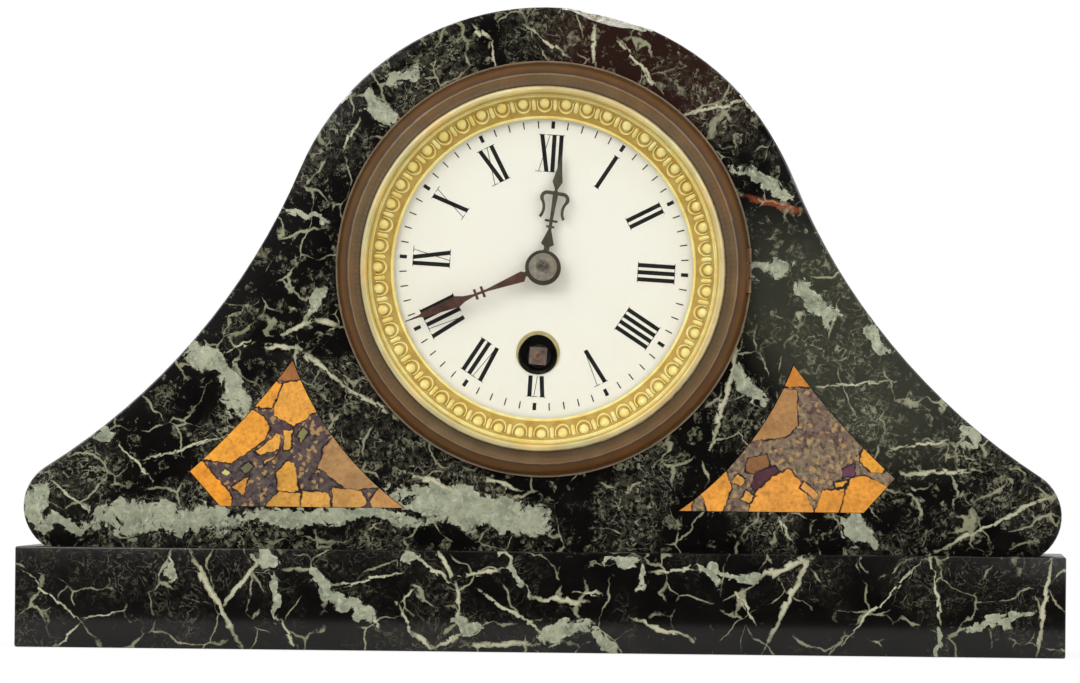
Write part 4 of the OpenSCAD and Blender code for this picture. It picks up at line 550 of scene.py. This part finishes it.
# Tie rods
# Two rods of mild steel come up through the plinth into the case, each with a washer and a nut in a pocket below.
# They are rolled and threaded stock that has gone dull and brown in the damp of the plaster.
def worn_metal(name, light, dark, spots, rough, metal, blotch, stroke, hub=None):
    """A metal with the light and dark of its polish, tarnish spots, and fine strokes of the tool that finished it.
    blotch is the size of its clouds and stroke the length, spacing and direction of its tool marks, in millimetres.
    hub gives a middle on the front, a radius and the colour inside it."""
    finish, tree, point = blank(name)
    cloud = add(tree, "TexNoise", {"Vector": point, "Scale": 1 / blotch, "Detail": 4.0, "Roughness": 0.6})
    tone = add(tree, "MapRange", {"Value": cloud, "From Min": 0.32, "From Max": 0.68})
    colour = add(tree, "Mix", {"Factor": tone, "A": paint(dark), "B": paint(light)}, data_type="RGBA")
    if hub:
        x, z, radius, tint = hub
        out = add(tree, "VectorMath", {0: point, 1: (x, 0, z)}, operation="SUBTRACT")
        out = add(tree, "VectorMath", {0: out, 1: (1, 0, 1)}, operation="MULTIPLY")
        out = add(tree, "VectorMath", {0: out}, operation="LENGTH")
        inside = add(tree, "MapRange", {"Value": out, "From Min": radius + 0.15, "From Max": radius - 0.15})
        colour = add(tree, "Mix", {"Factor": inside, "A": colour, "B": paint(tint)}, data_type="RGBA")
    along = add(tree, "Mapping", {"Vector": point, "Scale": [1 / s for s in stroke]})
    marks = add(tree, "TexNoise", {"Vector": along, "Scale": 1.0, "Detail": 2.0})
    freckle = add(tree, "TexNoise", {"Vector": point, "Scale": 4 / blotch, "Detail": 5.0, "Roughness": 0.7})
    freckle = add(tree, "MapRange", {"Value": freckle, "From Min": 0.58, "From Max": 0.7, "To Max": 0.7})
    colour = add(tree, "Mix", {"Factor": freckle, "A": colour, "B": paint(spots)}, data_type="RGBA")
    gloss = add(tree, "MapRange", {"Value": marks, "From Min": 0.3, "From Max": 0.7,
                                   "To Min": rough - 0.08, "To Max": rough + 0.1})
    gloss = add(tree, "Math", {0: freckle, 1: 0.25, 2: gloss}, operation="MULTIPLY_ADD")
    bump = add(tree, "Bump", {"Height": marks, "Strength": 0.1, "Distance": 0.0001})
    face = add(tree, "BsdfPrincipled", {"Base Color": colour, "Metallic": metal, "Roughness": gloss, "Normal": bump})
    add(tree, "OutputMaterial", {"Surface": face})
    return finish


coat(worn_metal("rusty_mild_steel", "#6d6862", "#4a423b", "#5b3420", 0.5, 0.8, 5, (1.5, 1.5, 0.3)),
     "tie_rods", "tie_washers", "tie_nuts")

# Bezel seat, straps and rear ring
# A turned brass ring fills the front of the bore and carries the bezel's hinge. Two straps run back from it to a ring
# behind the case and clamp the stone between them. Sheet and cast brass, filed and lacquered, now dull.
seat_brass = worn_metal("lacquered_brass", "#b8954f", "#8d6c34", "#5a4423", 0.36, 1.0, 6, (0.25, 4, 4))
coat(seat_brass, "straps", "rear_ring")
screw_steel = worn_metal("blued_steel", "#3c4763", "#232a40", "#4a3a30", 0.28, 1.0, 2, (0.2, 2, 0.2))
bright_steel = worn_metal("polished_steel", "#b3b1aa", "#8d8b85", "#5d4a3a", 0.24, 1.0, 3, (0.2, 3, 0.2))
coat(screw_steel, "strap_screws")
coat(bright_steel, "bezel_hinge_pin", "door_hinge_pin")

# Movement plates
# Two round plates of hard brass sheet, planed and stoned with a straight grain, stand 24 mm apart on four turned
# pillars. Blued screws hold the back plate to the pillars and the front plate to the seat.
plate_brass = worn_metal("stoned_plate_brass", "#c6a257", "#a07c3c", "#6d5229", 0.3, 1.0, 9, (5, 1.5, 0.18))
coat(plate_brass, "front_plate", "back_plate", "pillars")
coat(screw_steel, "pillar_screws", "plate_screws")

# Going train
# The spring barrel and the wheels are cut from cast brass and polished; arbors and pinions are turned and cut from
# polished steel. The mainspring is a coil of blued steel and the ratchet is held by a click and its spring.
wheel_brass = worn_metal("polished_wheel_brass", "#d9b462", "#b98f42", "#7c5c2c", 0.22, 1.0, 5, (2, 0.2, 2))
coat(wheel_brass, "barrel", "barrel_cap", "intermediate_wheel", "centre_wheel", "third_wheel", "fourth_wheel",
     "minute_wheel", "hour_wheel")
coat(bright_steel, "click", "intermediate_arbor", "centre_arbor", "third_arbor", "fourth_arbor", "cannon_pinion")
# The ratchet behind the winding hole is coloured near black as painted shade, so that the hole reads dark.
coat(worn_metal("ratchet_steel_painted_shade", "#262220", "#141210", "#33241b", 0.55, 0.4, 3, (0.3, 2, 0.3)), "ratchet_wheel")
arbor_x, _, arbor_z = (sum(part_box("barrel_arbor"), Vector()) / 2 / MM)
coat(worn_metal("browned_winding_steel", "#8a7a70", "#5f5048", "#7a5a48", 0.42, 0.5, 1.6, (0.3, 2, 0.3),
                (arbor_x, arbor_z, 1.0, "#a3785c")), "barrel_arbor")
coat(screw_steel, "mainspring", "click_screws")

# The click's spring is a straight leaf on a round foot that stays under its screw, cut across into short lengths.
FOOT_R, LEAF_CUTS = 2, 8
leaf_low, leaf_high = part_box("click_spring")
foot, tip = leaf_high - Vector((FOOT_R * MM, 0, FOOT_R * MM)), Vector((leaf_low.x, leaf_high.y, leaf_low.z))
along = (tip - foot).normalized()
neck = foot + along * FOOT_R * MM
leaf = blank_of("click_spring", "click_spring_leaf")
for cut in range(LEAF_CUTS):
    bpy.ops.mesh.select_all(action="SELECT")
    bpy.ops.mesh.bisect(plane_co=neck.lerp(tip, (cut + 0.5) / LEAF_CUTS), plane_no=along)
done(leaf, 30)
leaf.data.materials.append(bright_steel)
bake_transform(leaf)
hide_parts("click_spring")

# Lever platform
# A small brass plate screwed to the back plate, with the escape wheel, lever and balance under two cocks.
# The cocks and the balance are gilt, the hairspring and the index are blued.
platform_brass = worn_metal("gilt_platform_brass", "#d8b864", "#bb9646", "#84683a", 0.33, 1.0, 3, (0.4, 0.4, 0.4))
coat(platform_brass, "platform_plate", "balance_cock", "lever_cock", "balance_wheel")
coat(wheel_brass, "escape_wheel")
coat(bright_steel, "escape_arbor", "pallet_lever")
coat(screw_steel, "hairspring", "regulator", "platform_screws")

# Dial
# White vitreous enamel fired on a copper disc, with three copper feet pinned behind the front plate. The numerals and
# the minute track are black enamel painted on and fired, so they stand a few hundredths of a millimetre proud.
enamel, tree, point = blank("white_vitreous_enamel")
cloud = add(tree, "TexNoise", {"Vector": point, "Scale": 1 / 22, "Detail": 3.0})
colour = add(tree, "Mix", {"Factor": cloud, "A": paint("#f2eee0"), "B": paint("#f1f0e4")}, data_type="RGBA")
speck = add(tree, "TexNoise", {"Vector": point, "Scale": 1 / 0.9, "Detail": 2.0})
speck = add(tree, "MapRange", {"Value": speck, "From Min": 0.7, "From Max": 0.78, "To Max": 0.35})
colour = add(tree, "Mix", {"Factor": speck, "A": colour, "B": paint("#b9b29c")}, data_type="RGBA")
wave = add(tree, "TexNoise", {"Vector": point, "Scale": 1 / 6, "Detail": 1.0})
bump = add(tree, "Bump", {"Height": wave, "Strength": 0.06, "Distance": 0.0004})
gloss = add(tree, "MapRange", {"Value": speck, "To Min": 0.14, "To Max": 0.5})
face = add(tree, "BsdfPrincipled", {"Base Color": colour, "Roughness": gloss, "IOR": 1.52, "Normal": bump})
add(tree, "OutputMaterial", {"Surface": face})
coat(enamel, "dial")
coat(worn_metal("bare_copper", "#b8744c", "#8f5334", "#5a3a28", 0.35, 1.0, 4, (0.3, 2, 0.3)), "dial_feet")
coat(bright_steel, "dial_pins")
# Within 5.3 mm of the winding arbor the eyelet is coloured near black: painted shade down the winding hole.
coat(worn_metal("eyelet_brass_with_painted_shade", "#d3c68e", "#b3a468", "#8a7a48", 0.4, 0.5, 3, (0.3, 0.3, 0.3),
                (arbor_x, arbor_z, 5.3, "#14110d")), "winding_eyelet")

dial_low, dial_high = (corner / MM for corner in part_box("dial"))
DIAL_X, DIAL_Z = (dial_low.x + dial_high.x) / 2, (dial_low.z + dial_high.z) / 2
DIAL_FACE = dial_low.y
DIAL_TURN = 3.25
INK = 0.04
black_enamel, tree, point = blank("black_fired_enamel")
cloud = add(tree, "TexNoise", {"Vector": point, "Scale": 1 / 1.2, "Detail": 3.0})
colour = add(tree, "Mix", {"Factor": cloud, "A": paint("#080807"), "B": paint("#1c1a18")}, data_type="RGBA")
face = add(tree, "BsdfPrincipled", {"Base Color": colour, "Roughness": 0.6, "IOR": 1.35})
add(tree, "OutputMaterial", {"Surface": face})


def brush_stroke(hour, ends, widths, start=0):
    """One flat stroke of paint on the dial. Ends are (across, out) in millimetres at that hour, out from the centre.
    Nothing is painted nearer to the centre than start."""
    bpy.ops.mesh.primitive_plane_add(size=1)
    stroke = bpy.context.object
    turn = radians(30 * hour + DIAL_TURN)
    begin, end = (Vector(place) for place in ends)
    if begin.y < start < end.y:
        begin = begin.lerp(end, (start - begin.y) / (end.y - begin.y))
    side = Vector((end.y - begin.y, begin.x - end.x)).normalized() / 2
    flat = [begin - side * widths[0], begin + side * widths[0], end - side * widths[1], end + side * widths[1]]
    for corner, (across, out) in zip(stroke.data.vertices, flat):
        corner.co = Vector((DIAL_X + out * sin(turn) + across * cos(turn), DIAL_FACE + 0.005,
                            DIAL_Z + out * cos(turn) - across * sin(turn))) * MM
    return stroke


def joined(*pieces):
    """Joins pieces into the first of them."""
    pick(*pieces)
    bpy.ops.object.join()
    return pieces[0]


def outward():
    """Turns the faces of the piece being edited outward."""
    bpy.ops.mesh.select_all(action="SELECT")
    bpy.ops.mesh.normals_make_consistent(inside=False)


def fired(name, strokes):
    """Joins strokes into one piece and raises them by the thickness of the paint."""
    piece = joined(*strokes)
    piece.name = piece.data.name = name
    edit(piece)
    bpy.ops.mesh.extrude_region_move(TRANSFORM_OT_translate={"value": (0, -INK * MM, 0)})
    outward()
    done(piece)
    piece.data.materials.append(black_enamel)
    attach(piece, "clock")


NUMERAL_IN, NUMERAL_OUT = 25.3, 35.2
THICK, HAIR = 1.12, 0.17
WIDTHS = {"I": 1.9, "V": 3.1, "X": 3.0}
HOLE_END = DIAL_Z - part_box("winding_eyelet")[0].z / MM + 0.4
strokes = []
for hour, letters in enumerate(("I", "II", "III", "IIII", "V", "VI", "VII", "VIII", "IX", "X", "XI", "XII"), 1):
    left = -sum(WIDTHS[letter] for letter in letters) / 2
    foot, head = NUMERAL_IN, NUMERAL_OUT
    start = HOLE_END if hour == 6 else foot
    for letter in letters:
        right = left + WIDTHS[letter]
        middle = (left + right) / 2
        if letter == "I":
            lines = (((middle, foot), (middle, head), THICK),)
        elif letter == "V":
            lines = (((middle, foot), (left + 0.55, head), THICK), ((middle + 0.2, foot), (right - 0.25, head), HAIR))
        else:
            lines = (((right - 0.6, foot), (left + 0.6, head), THICK),
                     ((left + 0.25, foot), (right - 0.25, head), HAIR))
        for low, high, wide in lines:
            strokes.append(brush_stroke(hour, (low, high), (wide, wide), start))
            for across, out in (high,) if letter == "V" or start > foot else (low, high):
                strokes.append(brush_stroke(hour, ((across - 0.9, out), (across + 0.9, out)), (HAIR, HAIR)))
        left = right
fired("dial_numerals", strokes)

TRACK_IN, TRACK_OUT = 36.9, 38.9
strokes = []
for minute in range(60):
    if minute % 5:
        strokes.append(brush_stroke(minute / 5, ((0, TRACK_IN), (0, TRACK_OUT)), (0.3, 0.34)))
    else:
        strokes.append(brush_stroke(minute / 5, ((0, TRACK_IN), (0, TRACK_OUT - 0.05)), (0.95, 1.0)))
fired("dial_minute_track", strokes)

# Hands
# Trident hands sawn from thin steel and browned by heat, the hour hand a greyer olive, the minute hand a redder brown.
# A bright turned collet presses the minute hand home and a taper pin holds it.
coat(worn_metal("olive_browned_steel", "#5f5846", "#3f3a2d", "#2a2118", 0.45, 0.4, 2.5, (0.3, 0.3, 2)), "hour_hand")
coat(worn_metal("red_browned_steel", "#6b4638", "#442c25", "#2a1d18", 0.45, 0.4, 2.5, (2, 0.3, 0.3),
                (0, DIAL_HIGH, 5.2, "#4a4232")),
     "minute_hand")
coat(worn_metal("turned_collet_steel", "#b9b09f", "#8f8574", "#5b5242", 0.4, 0.6, 1.6, (0.4, 0.4, 0.4),
                (0, DIAL_HIGH, 1.9, "#857c66")),
     "hand_collet")
coat(bright_steel, "hand_pin")


# Sight ring
# A gilt ring stamped from thin brass with egg-and-dart, forty-eight eggs round, lies behind the glass and slopes down
# to the dial. Its flat border has one fine groove.
def lathe(name, profile, steps):
    """A ring turned about the dial's axis from a closed outline of (radius, height in front of the case)."""
    bpy.ops.mesh.primitive_circle_add(vertices=len(profile), fill_type="NOTHING")
    piece = bpy.context.object
    piece.name = piece.data.name = name
    for corner, (out, forward) in zip(piece.data.vertices, profile):
        corner.co = Vector((out, case_low.y - forward, DIAL_HIGH)) * MM
    edit(piece)
    bpy.ops.mesh.spin(steps=steps, angle=2 * pi, center=(0, 0, DIAL_HIGH * MM), axis=(0, 1, 0))
    bpy.ops.mesh.select_all(action="SELECT")
    bpy.ops.mesh.remove_doubles(threshold=WELD * MM)
    outward()
    return done(piece, 35)


def about_dial(angle):
    """A turn about the dial's axis."""
    middle = Matrix.Translation((0, 0, DIAL_HIGH * MM))
    return middle @ Matrix.Rotation(angle, 4, "Y") @ middle.inverted()


def round_the_dial(piece, count, name):
    """Copies one motif round the dial's axis and joins the copies."""
    parts = [piece]
    for turn in range(1, count):
        part = piece.copy()
        part.data = piece.data.copy()
        part.data.transform(about_dial(2 * pi * turn / count))
        scene.collection.objects.link(part)
        parts.append(part)
    joined(*parts)
    piece.name = piece.data.name = name
    return piece


sight = lathe("sight_ring_gilt", (
    (47.9, 1.7), (47.9, 6.5), (47.25, 6.5), (47.15, 6.3), (47.0, 6.3), (46.9, 6.5), (46.15, 6.5), (46.0, 6.4),
    (41.0, 3.1), (40.8, 3.2), (40.45, 3.1), (40.2, 2.7), (40.2, 2.0), (40.6, 1.9),
    (45.9, 5.3), (47.2, 5.3), (47.2, 1.7)), 192)
EGGS = 48
SLOPE_FOOT, SLOPE_HEAD = Vector((41.0, 3.1)), Vector((46.0, 6.4))
slope = (SLOPE_HEAD - SLOPE_FOOT).normalized()
bed = Matrix(((1, 0, 0, 0),
              (0, -slope.y, -slope.x, case_low.y - SLOPE_FOOT.y),
              (0, slope.x, -slope.y, DIAL_HIGH + SLOPE_FOOT.x),
              (0, 0, 0, 1)))
EGG_UP, EGG_HALF, EGG_WIDE, EGG_PROUD = 4.1, 1.5, 1.35, 0.85
CUP_HALF, CUP_WIDE, CUP_PROUD = EGG_HALF + 1.2, EGG_WIDE + 0.6, 2.6
DART_UP, DART_HALF, DART_WIDE, DART_PROUD = 3.5, 2.1, 0.85, 1.5
bpy.ops.mesh.primitive_uv_sphere_add(segments=14, ring_count=10, radius=1)
egg = bpy.context.object
edit(egg)
bpy.ops.mesh.bisect(plane_co=(0, 0, -0.15), plane_no=(0, 0, 1), clear_inner=True, use_fill=True)
done(egg)
for corner in egg.data.vertices:
    taper = 1 + 0.12 * corner.co.y
    corner.co = Vector((corner.co.x * EGG_WIDE * taper, EGG_UP + corner.co.y * EGG_HALF, corner.co.z * EGG_PROUD))
bpy.ops.mesh.primitive_torus_add(major_segments=28, minor_segments=6, major_radius=1, minor_radius=0.12)
cup = bpy.context.object
edit(cup)
bpy.ops.mesh.bisect(plane_co=(0, 0.3, 0), plane_no=(0, 1, 0), clear_outer=True, use_fill=True)
done(cup)
for corner in cup.data.vertices:
    corner.co = Vector((corner.co.x * CUP_WIDE, EGG_UP + corner.co.y * CUP_HALF, corner.co.z * CUP_PROUD + 0.05))
bpy.ops.mesh.primitive_cone_add(vertices=8, radius1=1, radius2=0.2, depth=1)
dart = bpy.context.object
for corner in dart.data.vertices:
    corner.co = Vector((corner.co.x * DART_WIDE, DART_UP + corner.co.y * DART_HALF,
                        max(corner.co.z, -0.1) * DART_PROUD))
for part in (egg, cup, dart):
    part.data.transform(Matrix.Diagonal((MM, MM, MM, 1)) @ bed)
dart.data.transform(about_dial(pi / EGGS))
edit(joined(egg, cup, dart))
outward()
eggs = round_the_dial(done(egg, 50), EGGS, "egg_and_dart")

finishes = []
# Two gilts: a pale one for the eggs, darts and border, and a darker one for the sloping ground. Burnished and matted
# gilding, with a painted highlight on the relief and painted shade on the ground.
for name, dark, light, rough in (("burnished_gilt_brass_painted_highlight", "#f6da72", "#fff6ac", 0.35),
                                 ("matted_gilt_brass_painted_shade", "#b28f40", "#cdad57", 0.5)):
    gilt, tree, point = blank(name)
    cloud = add(tree, "TexNoise", {"Vector": point, "Scale": 1 / 4, "Detail": 4.0, "Roughness": 0.65})
    tone = add(tree, "MapRange", {"Value": cloud, "From Min": 0.35, "From Max": 0.68})
    colour = add(tree, "Mix", {"Factor": tone, "A": paint(dark), "B": paint(light)}, data_type="RGBA")
    # The gilt darkens towards a dull brown gold in tight recesses found by ambient occlusion: painted shade, with some
    # grime.
    crevice_shade_and_grime = add(tree, "AmbientOcclusion", {"Distance": 0.0009}, samples=8, only_local=True)
    crevice_shade_and_grime = add(tree, "MapRange", {"Value": crevice_shade_and_grime.outputs["AO"], "From Min": 0.2, "From Max": 0.85,
                                   "To Min": 1.0, "To Max": 0.0})
    colour = add(tree, "Mix", {"Factor": crevice_shade_and_grime, "A": colour, "B": paint("#8f6f2a")}, data_type="RGBA")
    dust = add(tree, "TexNoise", {"Vector": point, "Scale": 1 / 0.5, "Detail": 3.0})
    gloss = add(tree, "MapRange", {"Value": dust, "To Min": rough, "To Max": rough + 0.2})
    bump = add(tree, "Bump", {"Height": dust, "Strength": 0.18, "Distance": 0.0001})
    face = add(tree, "BsdfPrincipled", {"Base Color": colour, "Metallic": 0.15, "Roughness": gloss, "Normal": bump})
    add(tree, "OutputMaterial", {"Surface": face})
    finishes.append(gilt)
for piece in (sight, eggs):
    piece.data.materials.clear()
    for gilt in finishes:
        piece.data.materials.append(gilt)
# The forward face of the slope takes the darker gilt: matting and painted shade.
for side in sight.data.polygons:
    out = Vector((side.center.x / MM, side.center.z / MM - DIAL_HIGH)).length
    side.material_index = int(side.normal.y < -0.5 and SLOPE_FOOT.x < out < SLOPE_HEAD.x)
joined(sight, eggs)
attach(sight, "front_bezel")
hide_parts("sight_ring")

# Bezel
# A spun brass ring with a round moulding, a hollow milled with fine reeds and a bright rim that holds the glass. It is
# hinged at three o'clock. Its brown patina is rubbed down to the metal on the rim. The outer edge is pale from wear
# and a painted highlight.
patina, tree, point = blank("patinated_bezel_brass")
level = add(tree, "VectorMath", {0: point, 1: (0, 0, DIAL_HIGH)}, operation="SUBTRACT")
level = add(tree, "VectorMath", {0: level, 1: (1, 0, 1)}, operation="MULTIPLY")
out = add(tree, "VectorMath", {0: level}, operation="LENGTH")
rub = add(tree, "TexNoise", {"Vector": point, "Scale": 1 / 3, "Detail": 5.0, "Roughness": 0.65})
rubbed = add(tree, "Math", {0: rub, 1: 0.5}, operation="SUBTRACT")
rubbed = add(tree, "Math", {0: rubbed, 1: 0.5, 2: out}, operation="MULTIPLY_ADD")
BANDS_FROM, BANDS_TO = 46.0, 56.0
zone = add(tree, "MapRange", {"Value": rubbed, "From Min": BANDS_FROM, "From Max": BANDS_TO})
ramp = add(tree, "ValToRGB", {0: zone})
stops = ramp.color_ramp.elements
# Colours by radius. The pale line at 52.35 mm on the edge of the hollow and the pale outer edge at 55.75 mm are
# painted highlights, and partly wear.
bands_with_painted_highlights = ((46.0, "#d9b755"), (47.45, "#dcbe66"), (47.6, "#e9d9a0"), (48.8, "#e2d096"), (49.15, "#3a2d1e"),
         (49.6, "#5f4a2c"), (50.6, "#6b5434"), (51.9, "#796040"), (52.35, "#7f6647"), (52.6, "#402a12"),
         (53.5, "#5c3d16"), (54.3, "#6e4719"), (54.9, "#593b14"), (55.4, "#4a3012"), (55.75, "#8a7252"))
while len(stops) < len(bands_with_painted_highlights):
    stops.new(1.0)
for stop, (radius, tint) in zip(stops, bands_with_painted_highlights):
    stop.position = (radius - BANDS_FROM) / (BANDS_TO - BANDS_FROM)
    stop.color = paint(tint)
streak = add(tree, "TexNoise", {"Vector": point, "Scale": 1 / 7, "Detail": 3.0})
streak = add(tree, "MapRange", {"Value": streak, "From Min": 0.35, "From Max": 0.7, "To Min": 0.88, "To Max": 1.12})
colour = add(tree, "VectorMath", {0: ramp, "Scale": streak}, operation="SCALE")
cast = add(tree, "TexNoise", {"Vector": point, "Scale": 1 / 12, "Detail": 3.0})
cast = add(tree, "MapRange", {"Value": cast, "From Min": 0.35, "From Max": 0.65})
cast = add(tree, "Mix", {"Factor": cast, "A": (1.07, 0.96, 0.88), "B": (0.95, 1.02, 1.1)}, data_type="VECTOR")
colour = add(tree, "VectorMath", {0: colour, 1: cast}, operation="MULTIPLY")
inner = add(tree, "MapRange", {"Value": out, "From Min": 48.9, "From Max": 49.3, "To Min": 0.6, "To Max": 0.12})
gloss = add(tree, "MapRange", {"Value": rub, "From Min": 0.3, "From Max": 0.7, "To Min": 0.4, "To Max": 0.6})
bump = add(tree, "Bump", {"Height": rub, "Strength": 0.15, "Distance": 0.0002})
face = add(tree, "BsdfPrincipled", {"Base Color": colour, "Metallic": inner, "Roughness": gloss, "Normal": bump})
add(tree, "OutputMaterial", {"Surface": face})
coat(patina, "front_bezel", "bezel_seat")

REEDS = 220
HOLLOW_R, HOLLOW_OUT, HOLLOW_UP, HOLLOW_TURN = 1.95, 50.5, 8.35, 48
REED_HALF, REED_PROUD, FURROW, REED_FADE, REED_BACK = 0.5, 0.1, 0.04, 0.12, 0.15
bpy.ops.mesh.primitive_grid_add(x_subdivisions=2, y_subdivisions=6, size=2)
reed = bpy.context.object
for corner in reed.data.vertices:
    u, v = corner.co.x, corner.co.y
    lean = radians(-90 + HOLLOW_TURN * v)
    deep = HOLLOW_R - (REED_PROUD if abs(u) < 0.5 else -FURROW) + REED_FADE * abs(v) ** 4
    corner.co = Vector((REED_HALF * u, case_low.y - (HOLLOW_UP + deep * sin(lean)),
                        DIAL_HIGH + HOLLOW_OUT + deep * cos(lean))) * MM
edit(reed)
bpy.ops.mesh.extrude_region_move(TRANSFORM_OT_translate={"value": (0, REED_BACK * MM, 0)})
outward()
reeds = round_the_dial(done(reed, 60), REEDS, "bezel_reeding")
reeds.data.materials.clear()
reeds.data.materials.append(patina)
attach(reeds, "front_bezel")

# Glass
# A domed glass, ground to fit the rim of the bezel and held there by the sight ring behind it.
# It is clear, with a faint green in its edge.
glass, tree, point = blank("domed_clear_glass")
wave = add(tree, "TexNoise", {"Vector": point, "Scale": 1 / 30, "Detail": 1.0})
bump = add(tree, "Bump", {"Height": wave, "Strength": 0.02, "Distance": 0.0005})
clear = add(tree, "BsdfPrincipled", {"Base Color": paint("#ffffff"), "Roughness": 0.0, "IOR": 1.5,
                                     "Transmission Weight": 1.0, "Normal": bump})
through = add(tree, "BsdfTransparent", {"Color": paint("#fdfefd")})
ray = add(tree, "LightPath")
face = add(tree, "MixShader", {0: ray.outputs["Is Shadow Ray"], 1: clear, 2: through})
add(tree, "OutputMaterial", {"Surface": face})
coat(glass, "glass")

# Rear door
# A round brass door closes the back of the case, hinged to the rear ring, with a small turned knob to pull it by.
# Spun from sheet, with fine rings left by the tool, and darkened where no polish reaches.
door_brass = worn_metal("spun_door_brass", "#b59553", "#8a6c38", "#5d4726", 0.34, 1.0, 8, (0.3, 3, 0.3))
coat(door_brass, "rear_door", "door_knob")
